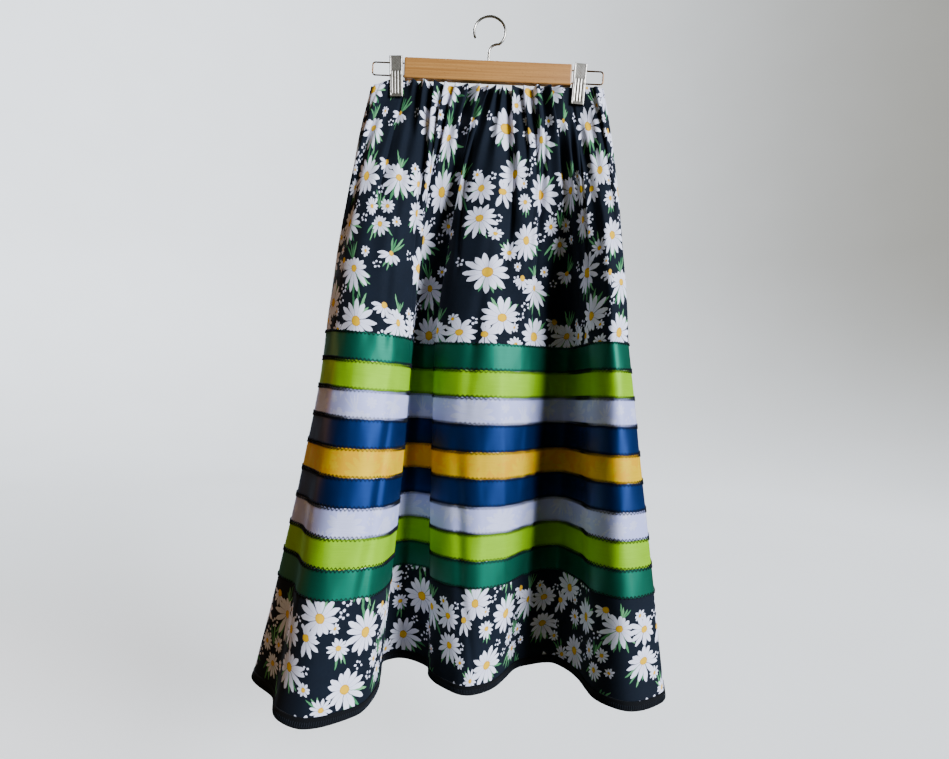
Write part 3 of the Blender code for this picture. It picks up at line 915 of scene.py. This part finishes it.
def lacquered_beech():
    """Beech under clear lacquer: honey brown, fine straight grain along the bar with short dark flecks."""
    hanger = bpy.context.scene.skirt_hanger
    made, tree, shader = new_material("lacquered_beech")
    place = add(tree, "ShaderNodeTexCoord", out=3)
    # Growth lines are 3 to 4 mm apart and run along the bar; the flecks are 4 mm long and 1 mm wide.
    turn = (0, math.radians(1.5), 0)
    grain = add(tree, MAPPING, {"Vector": place, "Rotation": turn, "Scale": (5, 160, 260)})
    noise = {"Vector": grain, "Scale": 1.4, "Detail": 5.0, "Roughness": 0.6, "Distortion": 0.6}
    lines = add(tree, NOISE, noise)
    tone = add(tree, RANGE, {"Value": lines, "From Min": 0.3, "From Max": 0.72})
    colour = add(tree, MIX, {0: tone, 6: hanger.wood, 7: hanger.wood_dark}, **IN_COLOUR)
    small = add(tree, MAPPING, {"Vector": place, "Scale": (260, 900, 1500)})
    flecks = add(tree, NOISE, {"Vector": small, "Scale": 1.0, "Detail": 1.0})
    flecks = add(tree, RANGE, {"Value": flecks, "From Min": 0.62, "From Max": 0.72, "To Max": 0.55})
    colour = add(tree, MIX, {0: flecks, 6: colour, 7: hanger.wood_fleck}, **IN_COLOUR)
    rough = add(tree, RANGE, {"Value": lines, "To Min": 0.32, "To Max": 0.48})
    bump = add(tree, BUMP, {"Strength": 0.25, "Distance": 0.0002, "Height": lines})
    shade(
        tree, shader, Base_Color=colour, Roughness=rough, Normal=bump, Coat_Weight=0.3, Coat_Roughness=0.25
    )
    return made


def plated_metal(name, bright, worn, low, high):
    """Plated steel: polished, clouded by handling, with fine rub marks."""
    made, tree, shader = new_material(name)
    place = add(tree, "ShaderNodeTexCoord", out=3)
    # Clouding is about 6 mm across; rub marks are half a millimetre wide and 4 mm long.
    cloud = add(tree, NOISE, {"Vector": place, "Scale": 160.0, "Detail": 5.0, "Roughness": 0.6})
    rubbed = add(tree, MAPPING, {"Vector": place, "Scale": (2200, 2200, 260)})
    marks = add(tree, NOISE, {"Vector": rubbed, "Scale": 1.0, "Detail": 2.0})
    tone = add(tree, RANGE, {"Value": cloud, "From Min": 0.45, "From Max": 0.75})
    colour = add(tree, MIX, {0: tone, 6: bright, 7: worn}, **IN_COLOUR)
    rough = add(tree, MATH, {0: marks, 1: cloud}, operation="MULTIPLY")
    rough = add(tree, RANGE, {"Value": rough, "From Max": 0.5, "To Min": low, "To Max": high})
    bump = add(tree, BUMP, {"Strength": 0.12, "Distance": 0.0001, "Height": marks})
    shade(tree, shader, Base_Color=colour, Metallic=1.0, Roughness=rough, Normal=bump)
    return made


def backdrop_paper():
    """Matt seamless paper: pale, even and a little mottled."""
    made, tree, shader = new_material("backdrop_paper")
    place = add(tree, "ShaderNodeTexCoord", out=3)
    mottle = add(tree, NOISE, {"Vector": place, "Scale": 3.0, "Detail": 3.0})
    stage = bpy.context.scene.skirt_stage
    colour = add(tree, MIX, {0: mottle, 6: stage.paper, 7: stage.paper_shade}, **IN_COLOUR)
    shade(
        tree, shader, Base_Color=colour, Roughness=0.95, Specular_IOR_Level=0.1, Emission_Color=colour,
        Emission_Strength=PAPER_GLOW,
    )
    return made


# ---------------------------------------------------------------------------------------------------------
# Sizes and colours that a user may change
# ---------------------------------------------------------------------------------------------------------


def length_property(name, description, default):
    return FloatProperty(
        name=name, description=description, default=default, min=0, unit="LENGTH", precision=4
    )


def colour_property(name, description, colour):
    return FloatVectorProperty(
        name=name, description=description, default=linear(colour), size=3, min=0, max=1, subtype="COLOR"
    )


class SkirtCloth(bpy.types.PropertyGroup):
    """The printed panels."""

    front_waist: length_property("Front waist", "Width of the front's cut along the waist", 0.63)
    front_hem: length_property("Front hem", "Width of the front's cut along the hem", 1.08)
    back_waist: length_property("Back waist", "Width of the back's cut along the waist", 0.50)
    back_hem: length_property("Back hem", "Width of the back's cut along the hem", 0.85)
    thickness: length_property("Thickness", "Thickness of the printed cotton", 0.0005)
    casing: length_property("Casing", "Depth turned in over the waist elastic", 0.014)
    ground: colour_property("Ground", "The print's dark ground", "#090f18")
    ground_light: colour_property("Ground light", "The ground where the ink is thinner", "#0d1622")
    wrong_side: colour_property("Wrong side", "The back of the cloth", "#4a525e")
    petal: colour_property("Petal", "White of the petals and dots", "#eceaf6")
    petal_shade: colour_property("Petal shade", "Grey of the petals' veins and roots", "#a29fc0")
    eye: colour_property("Eye", "Yellow of the flowers' eyes", "#eab400")
    eye_shade: colour_property("Eye shade", "Brown round the eyes", "#a8660c")
    blade_light: colour_property("Blade light", "The paler green of the leaves", "#6fae72")
    blade_dark: colour_property("Blade dark", "The darker green of the leaves", "#37784a")


class SkirtRibbons(bpy.types.PropertyGroup):
    """The satin ribbons."""

    pitch: length_property("Pitch", "From one ribbon's top edge to the next", 0.0381)
    gap: length_property("Gap", "Cloth left bare between two ribbons", 0.0003)
    thickness: length_property("Thickness", "Thickness of the satin", 0.0003)
    above: length_property("Above the cloth", "From the cloth's middle to the satin's", 0.0006)
    crown: length_property("Crown", "How far a ribbon stands up between its stitched edges", 0.00012)
    green: colour_property("Green", "Green satin", "#044534")
    lime: colour_property("Lime", "Lime satin", "#8cc008")
    white: colour_property("White", "White satin", "#d3d4f2")
    navy: colour_property("Navy", "Navy satin", "#041b40")
    gold: colour_property("Gold", "Gold satin", "#e6b800")
    white_over_ink: colour_property("White over ink", "White satin over the print's ground", "#adb1e2")
    gold_over_ink: colour_property("Gold over ink", "Gold satin over the print's ground", "#d89c00")


class SkirtTrim(bpy.types.PropertyGroup):
    """The hem binding and the stitches."""

    binding_depth: length_property("Binding depth", "How far the binding covers the hem", 0.0135)
    binding_half: length_property("Binding half thickness", "From the cloth's middle to the tape's", 0.0011)
    tape_thickness: length_property("Tape thickness", "Thickness of the tape", 0.0006)
    zigzag_pitch: length_property("Zigzag pitch", "Length of one zig and zag", 0.0056)
    zigzag_width: length_property("Zigzag width", "Width of the zigzag stitch", 0.0036)
    thread: length_property("Thread", "Thickness of the hem's thread", 0.0008)
    # The zigzag is a 3.2 mm stitch in 0.4 mm thread, and is drawn coarser so that its teeth show.
    zigzag_thread: length_property("Zigzag thread", "Thickness of the zigzag's thread", 0.0012)
    bar_pitch: length_property("Bar pitch", "From one stitch to the next along the hem", 0.0028)
    bar_length: length_property("Bar length", "Length of each stitch over the hem", 0.0058)
    tape: colour_property("Tape", "Black tape", "#060709")
    tape_worn: colour_property("Tape worn", "Tape on its high threads", "#0d0f13")
    # Each thread has its colour and its lit colour, a painted highlight that lies over some of its plies.
    black: colour_property("Thread", "Black thread", "#0c0d11")
    black_lit: colour_property("Thread light", "Black thread in the light", "#25272e")
    grey: colour_property("Hem thread", "Grey thread over the hem", "#14171c")
    grey_lit: colour_property("Hem thread light", "Grey thread in the light", "#2b3038")


class SkirtHanger(bpy.types.PropertyGroup):
    """The wooden clip hanger."""

    bar_round: length_property("Bar rounding", "Radius of the bar's edges", 0.0022)
    wood: colour_property("Wood", "Beech", "#c98f4c")
    wood_dark: colour_property("Wood dark", "Beech in its growth lines", "#a26a2e")
    wood_fleck: colour_property("Wood fleck", "Beech's short flecks", "#6e421b")
    nickel: colour_property("Nickel", "Polished nickel", "#b9b2a6")
    nickel_worn: colour_property("Nickel worn", "Clouded nickel", "#857c6e")
    bronze: colour_property("Wire", "Bronzed wire", "#8a6238")
    bronze_worn: colour_property("Wire worn", "Bronzed wire where it is dark", "#4f3519")


class SkirtStage(bpy.types.PropertyGroup):
    """The backdrop, camera and lights."""

    floor: FloatProperty(name="Floor", description="Height of the floor", default=-1.16, unit="LENGTH")
    lens: FloatProperty(name="Lens", description="Focal length", default=23.52, unit="CAMERA")
    roll: FloatProperty(name="Roll", description="Camera's roll", default=math.radians(-2.5), subtype="ANGLE")
    key: FloatProperty(name="Key", description="Strength of the window light", default=8.8, min=0)
    back: FloatProperty(name="Back", description="Strength of the light behind", default=5.0, min=0)
    lamp: FloatProperty(name="Lamp", description="Power of the warm lamp", default=3.5, unit="POWER")
    sky: FloatProperty(name="Sky", description="Strength of the room's light", default=0.115, min=0)
    paper: colour_property("Paper", "The backdrop", "#e9e9e6")
    paper_shade: colour_property("Paper shade", "The backdrop's mottling", "#e2e2de")
    day: colour_property("Daylight", "Colour of the window light", "#e6efff")
    warm: colour_property("Lamplight", "Colour of the lamp", "#ffb070")
    room: colour_property("Room", "Colour of the room's light", "#e2e2be")


# ---------------------------------------------------------------------------------------------------------
# The pieces
# ---------------------------------------------------------------------------------------------------------

COLUMNS = 300
PANEL_ROWS = 150
# Shares of the panel's rows below the gathers, below the waist's edge and in the casing.
PANEL_STOPS = (0, 0.60, 0.93, 1)
GATHERS_END = -0.34
PANEL_FOOT = 0.0015
RIBBON_ROWS = 8
RIBBON_EDGE = 0.0004
BINDING_ROWS = 12
CASING_FOLD = 0.002
CASING_GAP = 0.0013
# How far the satin puckers between its stitches and how far its edges wander, in metres.
PUCKER_BOTH = 0.00010
PUCKER_ONE = 0.00012
EDGE_WANDER = 0.0003
TAPE_WAVE = 0.00012
# The zigzag stops short of the side seams by a share, and a part of its width lies past the ribbon's edge.
SEAM_CLEAR = 0.001
ZIGZAG_PAST = 0.15
ZIGZAG_RISE = 0.0003
ZIGZAG_SINK = 0.0001
# A hem stitch, from its foot to its head: share to one side, share of its length, and threads above the tape.
BAR_FOOT = 0.0022
BAR_UNEVEN = 0.0003
BAR_SIDE = np.array((0, 0, 0.0002, 0.0004))
BAR_ALONG = np.array((0, 0.1, 0.9, 1))
BAR_OUT = np.array((-0.2, 0.3, 0.3, -0.2))
PRINT_SHIFTS = {"front": (0.020, 0.014), "back": (0.117, 0.071)}


class SKIRT_OT_panels(bpy.types.Operator):
    """Cut the front and back panels, print them and hang them from the waist"""

    bl_idname = "skirt.panels"
    bl_label = "Printed panels"

    def execute(self, context):
        cloth = context.scene.skirt_cloth
        looks = (printed_cotton(), printed_cotton(wrong_side=True))
        for side in SIDES:
            name = f"printed_panel_{side}"
            levels = (HEM + PANEL_FOOT, GATHERS_END, WAIST_TOP, WAIST_TOP + cloth.casing)
            mesh, share, level = flat_cut(name, side, PANEL_ROWS, PANEL_STOPS, levels)
            print_on(mesh, PRINT_SHIFTS[side])
            over = np.maximum(level - WAIST_TOP, 0)
            turn = math.pi * np.clip(over / CASING_FOLD, 0, 1)
            lift = CASING_GAP / 2 * np.sin(turn)
            level = np.minimum(level, WAIST_TOP) - np.maximum(over - CASING_FOLD, 0) + lift
            out = -CASING_GAP / 2 * (1 - np.cos(turn))
            place_points(mesh, hung(side, share, level, out))
            piece = finish_piece(
                name, mesh, [f"panel_{side}"], looks, thickness=cloth.thickness
            )
            deep = WAIST_TOP - HEM + cloth.casing
            wide = cut_width(side, HEM)
            area = (cut_width(side, WAIST_TOP) + wide) / 2 * deep
        return {"FINISHED"}


class SKIRT_OT_ribbons(bpy.types.Operator):
    """Lay nine satin ribbons round each panel"""

    bl_idname = "skirt.ribbons"
    bl_label = "Satin ribbons"

    def execute(self, context):
        ribbons = context.scene.skirt_ribbons
        looks = {}
        shows = {"white": ribbons.white_over_ink, "gold": ribbons.gold_over_ink}
        for name in dict.fromkeys(RIBBONS):
            colour = tuple(getattr(ribbons, name))
            deep = tuple(SATIN_DEEP * part for part in colour)
            glow = tuple(mix(1.0, part / max(colour), SATIN_GLOW) for part in colour)
            looks[name] = satin(name, colour, deep, glow, shows.get(name))
        for side in SIDES:
            for number, colour in enumerate(RIBBONS, start=1):
                top = RIBBON_TOP - (number - 1) * ribbons.pitch
                bottom = top - ribbons.pitch + ribbons.gap
                name = f"satin_ribbon_{number}_{side}"
                # A narrow row at each edge keeps the satin flat up to its stitches.
                stops = (0, 1 / RIBBON_ROWS, 1 - 1 / RIBBON_ROWS, 1)
                levels = (bottom, bottom + RIBBON_EDGE, top - RIBBON_EDGE, top)
                mesh, share, level = flat_cut(name, side, RIBBON_ROWS, stops, levels)
                if colour in shows:
                    print_on(mesh, PRINT_SHIFTS[side])
                across = 2 * (level - bottom) / (top - bottom) - 1
                pucker = PUCKER_BOTH * np.sin(share * 380 + 3 * number) * across**2
                pucker = pucker + PUCKER_ONE * np.sin(share * 233 + 5 * number) * across
                out = ribbons.above + ribbons.crown * (1 - across**4) + pucker
                level = level + EDGE_WANDER * np.sin(share * 170 + 2 * number) * across
                place_points(mesh, hung(side, share, level, out))
                piece = finish_piece(
                    name, mesh, [f"ribbon_{number}_{side}"], [looks[colour]],
                    thickness=ribbons.thickness,
                )
                flat = (cut_width(side, (top + bottom) / 2), top - bottom)
        return {"FINISHED"}


class SKIRT_OT_stitches(bpy.types.Operator):
    """Zigzag along both edges of every ribbon in black thread"""

    bl_idname = "skirt.stitches"
    bl_label = "Zigzag stitches"

    def execute(self, context):
        ribbons, trim = context.scene.skirt_ribbons, context.scene.skirt_trim
        look = sewing_thread("black_thread", trim.black, trim.black_lit)
        above = ribbons.above + ribbons.thickness / 2 + trim.zigzag_thread / 2
        for side in SIDES:
            lines = []
            for number in range(len(RIBBONS)):
                top = RIBBON_TOP - number * ribbons.pitch
                bottom = top - ribbons.pitch + ribbons.gap
                for edge, inward in ((top, -1), (bottom, 1)):
                    count = 2 * round(cut_width(side, edge) / trim.zigzag_pitch)
                    share = np.linspace(SEAM_CLEAR, 1 - SEAM_CLEAR, count + 1)
                    inside = np.arange(count + 1) % 2
                    level = edge + inward * trim.zigzag_width * (inside - ZIGZAG_PAST)
                    out = np.where(inside, above + ZIGZAG_RISE, above - ZIGZAG_SINK)
                    lines.append(hung(side, share, level, out))
            mesh = curve_mesh(f"zigzag_{side}", lines, trim.zigzag_thread / 2)
            finish_piece(f"zigzag_{side}", mesh, [], [look])
        return {"FINISHED"}


class SKIRT_OT_binding(bpy.types.Operator):
    """Fold tape over the hem and stitch it"""

    bl_idname = "skirt.binding"
    bl_label = "Hem binding"

    def execute(self, context):
        trim = context.scene.skirt_trim
        tape = binding_tape()
        thread = sewing_thread("grey_thread", trim.grey, trim.grey_lit)
        half = trim.binding_half
        wide = 2 * trim.binding_depth + (math.pi - 2) * half
        for side in SIDES:
            name = f"binding_tape_{side}"
            levels = (HEM - wide / 2, HEM + wide / 2)
            mesh, share, along = flat_cut(name, side, BINDING_ROWS, (0, 1), levels)
            # Along is measured over the tape, from inside the skirt, under the hem, to outside it.
            along = along - HEM
            turn = np.clip(along / half, -math.pi / 2, math.pi / 2)
            straight = np.maximum(np.abs(along) - half * math.pi / 2, 0)
            level = HEM + half * (1 - np.cos(turn)) + straight
            out = half * np.sin(turn) + TAPE_WAVE * np.sin(share * 300) * np.sign(along)
            place_points(mesh, hung(side, share, level, out))
            piece = finish_piece(
                name, mesh, [f"hem_binding_{side}"], [tape], thickness=trim.tape_thickness
            )
            flat = (cut_width(side, HEM), wide)
            count = round(flat[0] / trim.bar_pitch)
            out = half + trim.tape_thickness / 2 + trim.thread * BAR_OUT
            lines = []
            for k in range(count):
                foot = HEM + BAR_FOOT + BAR_UNEVEN * math.sin(2.7 * k)
                level = foot + trim.bar_length * BAR_ALONG
                lines.append(hung(side, (k + 0.5) / count + BAR_SIDE, level, out))
            bars = curve_mesh(f"hem_stitches_{side}", lines, trim.thread / 2)
            finish_piece(f"hem_stitches_{side}", bars, [], [thread])
        return {"FINISHED"}


# ---------------------------------------------------------------------------------------------------------
# The hanger
# ---------------------------------------------------------------------------------------------------------

# Lengths in metres and angles in degrees, as in the solids.
HOOK_WIRE = 0.0036
HOOK_RADIUS = 0.020
HOOK_START = -50
HOOK_TIP = 205
HOOK_BEND = 0.013
SHANK_FOOT = -0.074
LOOP_WIRE = 0.0021
LOOP_INNER = 0.1098
LOOP_END = 0.162
LOOP_TOP = -0.069
LOOP_BOTTOM = -0.087
LOOP_CORNER = 0.004
CLIP_TOP = -0.061
CLIP_WIDTH = 0.0176
CLIP_HEIGHT = 0.057
CLIP_LEAN = math.radians(3)
JAW_FACE = 0.0059
PRESSED = 0.0008
# A jaw's pressed shape, in metres. Distances down are from its top.
JAW_BEND = 0.0011
FLANGE_HIGH = 0.0036
FLANGE_LOW = 0.0013
FLANGE_STEP = 0.0265
FACE_DEPTH = 0.0006
KNURL_PITCH = 0.0038
KNURL_DEPTH = 0.0022
KNURLED = (0.0012, 0.0195)
RIB_PITCH = 0.0041
RIB_DEPTH = 0.0006
RIBBED = (0.0205, 0.0535)
LIP_DEPTH = 0.00045
LIP_TOP = 0.0545


def arc(centre_x, centre_z, radius, start, end, steps):
    """Points on an arc in the XZ plane; degrees from +X towards +Z."""
    turns = np.radians(np.linspace(start, end, steps + 1))
    x, z = centre_x + radius * np.cos(turns), centre_z + radius * np.sin(turns)
    return np.stack([x, 0 * turns, z], axis=-1)


class SKIRT_OT_bar(bpy.types.Operator):
    """Round the edges of the wooden bar"""

    bl_idname = "skirt.bar"
    bl_label = "Wooden bar"

    def execute(self, context):
        low, high = (np.array(corner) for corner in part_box("hanger_bar"))
        shape = bmesh.new()
        bmesh.ops.create_cube(shape, size=1)
        bmesh.ops.scale(shape, vec=high - low, verts=shape.verts)
        bmesh.ops.translate(shape, vec=(low + high) / 2, verts=shape.verts)
        bmesh.ops.bevel(
            shape, geom=shape.edges, offset=context.scene.skirt_hanger.bar_round, segments=5,
            profile=0.5, affect="EDGES", material=-1,
        )
        mesh = mesh_from("wooden_bar", shape)
        finish_piece("wooden_bar", mesh, ["hanger_bar"], [lacquered_beech()], sharp=35)
        return {"FINISHED"}


class SKIRT_OT_wires(bpy.types.Operator):
    """Bend the hook and the two loops that the clips slide on"""

    bl_idname = "skirt.wires"
    bl_label = "Hook and loops"

    def execute(self, context):
        hanger = context.scene.skirt_hanger
        nickel = plated_metal("nickel_plate", hanger.nickel, hanger.nickel_worn, 0.14, 0.34)
        radius = HOOK_RADIUS + HOOK_WIRE / 2
        over = arc(0, -HOOK_RADIUS, radius, HOOK_START, HOOK_TIP, 44)
        shank_top = over[0][2] - HOOK_BEND
        t = np.linspace(0.1, 0.9, 9)
        rise = shank_top + (over[0][2] - shank_top) * np.sin(t * math.pi / 2)
        bend = np.stack([over[0][0] * t * t, 0 * t, rise], axis=-1)
        line = np.concatenate([[(0, 0, SHANK_FOOT), (0, 0, shank_top)], bend, over])
        mesh = curve_mesh("wire_hook", [line], HOOK_WIRE / 2, sides=5)
        finish_piece("wire_hook", mesh, ["hook"], [nickel], sharp=50)
        bronze = plated_metal("bronzed_wire", hanger.bronze, hanger.bronze_worn, 0.22, 0.42)
        corner = LOOP_END - LOOP_WIRE / 2 - LOOP_CORNER
        upper = arc(corner, LOOP_TOP - LOOP_CORNER, LOOP_CORNER, 90, 0, 8)
        lower = arc(corner, LOOP_BOTTOM + LOOP_CORNER, LOOP_CORNER, 0, -90, 8)
        start, end = (LOOP_INNER, 0, LOOP_TOP), (LOOP_INNER, 0, LOOP_BOTTOM)
        line = np.concatenate([[start], upper, lower, [end]])
        for name, sign in (("left", -1), ("right", 1)):
            mesh = curve_mesh(f"wire_loop_{name}", [line * (sign, 1, 1)], LOOP_WIRE / 2, sides=4)
            finish_piece(
                f"wire_loop_{name}", mesh, [f"clip_loop_{name}"], [bronze], sharp=50
            )
        return {"FINISHED"}


def within(down, span, ease):
    """1 inside a span down the jaw, 0 outside it."""
    return smooth((down - span[0]) / ease) * smooth((span[1] - down) / ease)


def pressed_jaw(across, down):
    """A jaw's pressed shape: distances across the strip and down it give x, depth behind the face, z."""
    flange = mix(FLANGE_HIGH, FLANGE_LOW, smooth((down - FLANGE_STEP) / 0.003))
    flat = CLIP_WIDTH / 2 - JAW_BEND
    round_corner = JAW_BEND * math.pi / 2
    strip = across * (flat + round_corner + flange)
    turn = np.clip((np.abs(strip) - flat) / JAW_BEND, 0, math.pi / 2)
    straight = np.maximum(np.abs(strip) - flat - round_corner, 0)
    x = np.sign(strip) * (np.minimum(np.abs(strip), flat) + JAW_BEND * np.sin(turn))
    depth = JAW_BEND * (1 - np.cos(turn)) + straight
    # Diamond knurling above, four ribs below it and a plain lip at the foot, pressed out of the face.
    face = smooth((flat - np.abs(strip)) / 0.0008)
    slants = (np.abs(((strip + way * down) / KNURL_PITCH) % 1 - 0.5) for way in (1, -1))
    knurl = KNURL_DEPTH * math.prod(slants) * within(down, KNURLED, 0.001)
    wave = 0.5 + 0.5 * np.cos(strip / RIB_PITCH * math.tau + math.pi)
    ribs = RIB_DEPTH * wave**1.5 * within(down, RIBBED, 0.0015)
    lip = LIP_DEPTH * smooth((down - LIP_TOP) / 0.0008)
    return x, depth + face * (FACE_DEPTH - knurl - ribs - lip), -down


class SKIRT_OT_clips(bpy.types.Operator):
    """Press the four jaws of the two clips"""

    bl_idname = "skirt.clips"
    bl_label = "Clips"

    def execute(self, context):
        hanger = context.scene.skirt_hanger
        steel = plated_metal("nickel_plated_clip", hanger.nickel, hanger.nickel_worn, 0.34, 0.5)
        for side, sign in (("left", -1), ("right", 1)):
            for layer, outward in (("front", -1), ("back", 1)):
                name = f"jaw_{side}_{layer}"
                mesh, flat = flat_grid(name, 44, 84)
                x, depth, z = pressed_jaw(flat[:, 0], (1 - flat[:, 1]) / 2 * CLIP_HEIGHT)
                y = outward * (JAW_FACE - PRESSED / 2 - depth)
                middle = CLIP_HEIGHT / 2
                place = Matrix.Translation((sign * CLIP_X, 0, CLIP_TOP - middle))
                place = np.array(place @ Matrix.Rotation(sign * CLIP_LEAN, 4, "Y"))
                points = np.stack([x, y, z + middle], axis=-1) @ place[:3, :3].T + place[:3, 3]
                place_points(mesh, points)
                if outward == 1:
                    mesh.flip_normals()
                finish_piece(
                    name, mesh, [f"clip_{side}_{layer}"], [steel], thickness=PRESSED,
                    sharp=40,
                )
        return {"FINISHED"}


# ---------------------------------------------------------------------------------------------------------
# The stage
# ---------------------------------------------------------------------------------------------------------


# The backdrop, in metres.
COVE_RADIUS = 5.0
COVE_BEND = 1.8
COVE_STEPS = 12
COVE_HEIGHT = 4.5
COVE_HOLE = 0.5
CAMERA_PLACE = (0, -0.866, -0.506)
LAMP_PLACE = (-1.6, 0.1, -0.3)
LAMP_SIZE = 0.4
# Light from far off. Columns: name, the setting that holds its strength, its width in the sky, how far round
# to the right of the skirt's front it is, and its height, in degrees.
SUNS = (("window", "key", 30, 52, 18), ("behind", "back", 40, 200, 35))


def put_light(name, kind, strength, colour, turn, place=(0, 0, 0)):
    """Adds a light, turned by degrees about X and Z. Returns its data."""
    light = bpy.data.lights.new(name, kind)
    light.energy = strength
    light.color = colour
    made = bpy.data.objects.new(name, light)
    made.location = place
    made.rotation_euler = (math.radians(turn[0]), 0, math.radians(turn[1]))
    bpy.context.scene.collection.objects.link(made)
    return light


def cove(floor):
    """A pale round floor that curves up into a wall all round."""
    shape = bmesh.new()
    rim = [Vector((COVE_HOLE, 0, floor)), Vector((COVE_RADIUS - COVE_BEND, 0, floor))]
    for step in range(1, COVE_STEPS + 1):
        turn = math.pi / 2 * step / COVE_STEPS
        out = COVE_RADIUS - COVE_BEND + COVE_BEND * math.sin(turn)
        rim.append(Vector((out, 0, floor + COVE_BEND * (1 - math.cos(turn)))))
    rim.append(Vector((COVE_RADIUS, 0, floor + COVE_HEIGHT)))
    points = [shape.verts.new(place) for place in rim]
    edges = [shape.edges.new(pair) for pair in zip(points, points[1:])]
    bmesh.ops.spin(
        shape, geom=points + edges, cent=(0, 0, 0), axis=(0, 0, 1), angle=math.tau, steps=96,
        use_merge=True,
    )
    open_edges = [edge for edge in shape.edges if edge.is_boundary]
    hole = [edge for edge in open_edges if edge.verts[0].co.xy.length < 1.2 * COVE_HOLE]
    bmesh.ops.contextual_create(shape, geom=hole)
    bmesh.ops.recalc_face_normals(shape, faces=shape.faces)
    mesh = mesh_from("backdrop", shape)
    mesh.shade_smooth()
    return mesh


class SKIRT_OT_stage(bpy.types.Operator):
    """Set up the backdrop, camera and lights"""

    bl_idname = "skirt.stage"
    bl_label = "Stage"

    def execute(self, context):
        stage = context.scene.skirt_stage
        mesh = cove(stage.floor)
        mesh.materials.append(backdrop_paper())
        backdrop = bpy.data.objects.new("backdrop", mesh)
        # The paper shadows nothing and lights nothing, so that the folds keep their depth.
        backdrop.visible_shadow = False
        backdrop.visible_diffuse = False
        backdrop.visible_glossy = False
        context.scene.collection.objects.link(backdrop)
        lens = bpy.data.cameras.new("camera")
        lens.lens = stage.lens
        camera = bpy.data.objects.new("camera", lens)
        camera.location = CAMERA_PLACE
        camera.rotation_euler = (math.radians(90), stage.roll, 0)
        context.scene.collection.objects.link(camera)
        context.scene.camera = camera
        for name, strength, softness, azimuth, height in SUNS:
            sun = put_light(name, "SUN", getattr(stage, strength), stage.day, (90 - height, azimuth))
            sun.angle = math.radians(softness)
        put_light("lamp", "AREA", stage.lamp, stage.warm, (90, -90), LAMP_PLACE).size = LAMP_SIZE
        world = bpy.data.worlds.new("studio")
        context.scene.world = world
        world.use_nodes = True
        sky = world.node_tree.nodes["Background"]
        sky.inputs["Color"].default_value = (*stage.room, 1)
        sky.inputs["Strength"].default_value = stage.sky
        return {"FINISHED"}


class SKIRT_PT_pieces(bpy.types.Panel):
    """Lists the skirt's pieces and their sizes"""

    bl_idname = "SKIRT_PT_pieces"
    bl_label = "Ribbon Skirt"
    bl_space_type = "VIEW_3D"
    bl_region_type = "UI"
    bl_category = "Ribbon Skirt"

    def draw(self, context):
        for group, _, operators in GROUPS:
            box = self.layout.box()
            settings = getattr(context.scene, group)
            for name in settings.__annotations__:
                box.prop(settings, name)
            for operator in operators:
                box.operator(operator.bl_idname)


# Columns: the scene's name for the settings, their class and the operators that read them.
GROUPS = (
    ("skirt_cloth", SkirtCloth, (SKIRT_OT_panels,)),
    ("skirt_ribbons", SkirtRibbons, (SKIRT_OT_ribbons,)),
    ("skirt_trim", SkirtTrim, (SKIRT_OT_stitches, SKIRT_OT_binding)),
    ("skirt_hanger", SkirtHanger, (SKIRT_OT_bar, SKIRT_OT_wires, SKIRT_OT_clips)),
    ("skirt_stage", SkirtStage, (SKIRT_OT_stage,)),
)


def register():
    for name, group, operators in GROUPS:
        for kind in (group, *operators):
            bpy.utils.register_class(kind)
        setattr(bpy.types.Scene, name, PointerProperty(type=group))
    bpy.utils.register_class(SKIRT_PT_pieces)


def unregister():
    bpy.utils.unregister_class(SKIRT_PT_pieces)
    for name, group, operators in reversed(GROUPS):
        delattr(bpy.types.Scene, name)
        for kind in (group, *operators):
            bpy.utils.unregister_class(kind)


def main():
    register()
    bpy.ops.skirt.stage()
    bpy.ops.skirt.panels()
    bpy.ops.skirt.ribbons()
    bpy.ops.skirt.stitches()
    bpy.ops.skirt.binding()
    bpy.ops.skirt.bar()
    bpy.ops.skirt.wires()
    bpy.ops.skirt.clips()


if __name__ == "__main__":
    main()
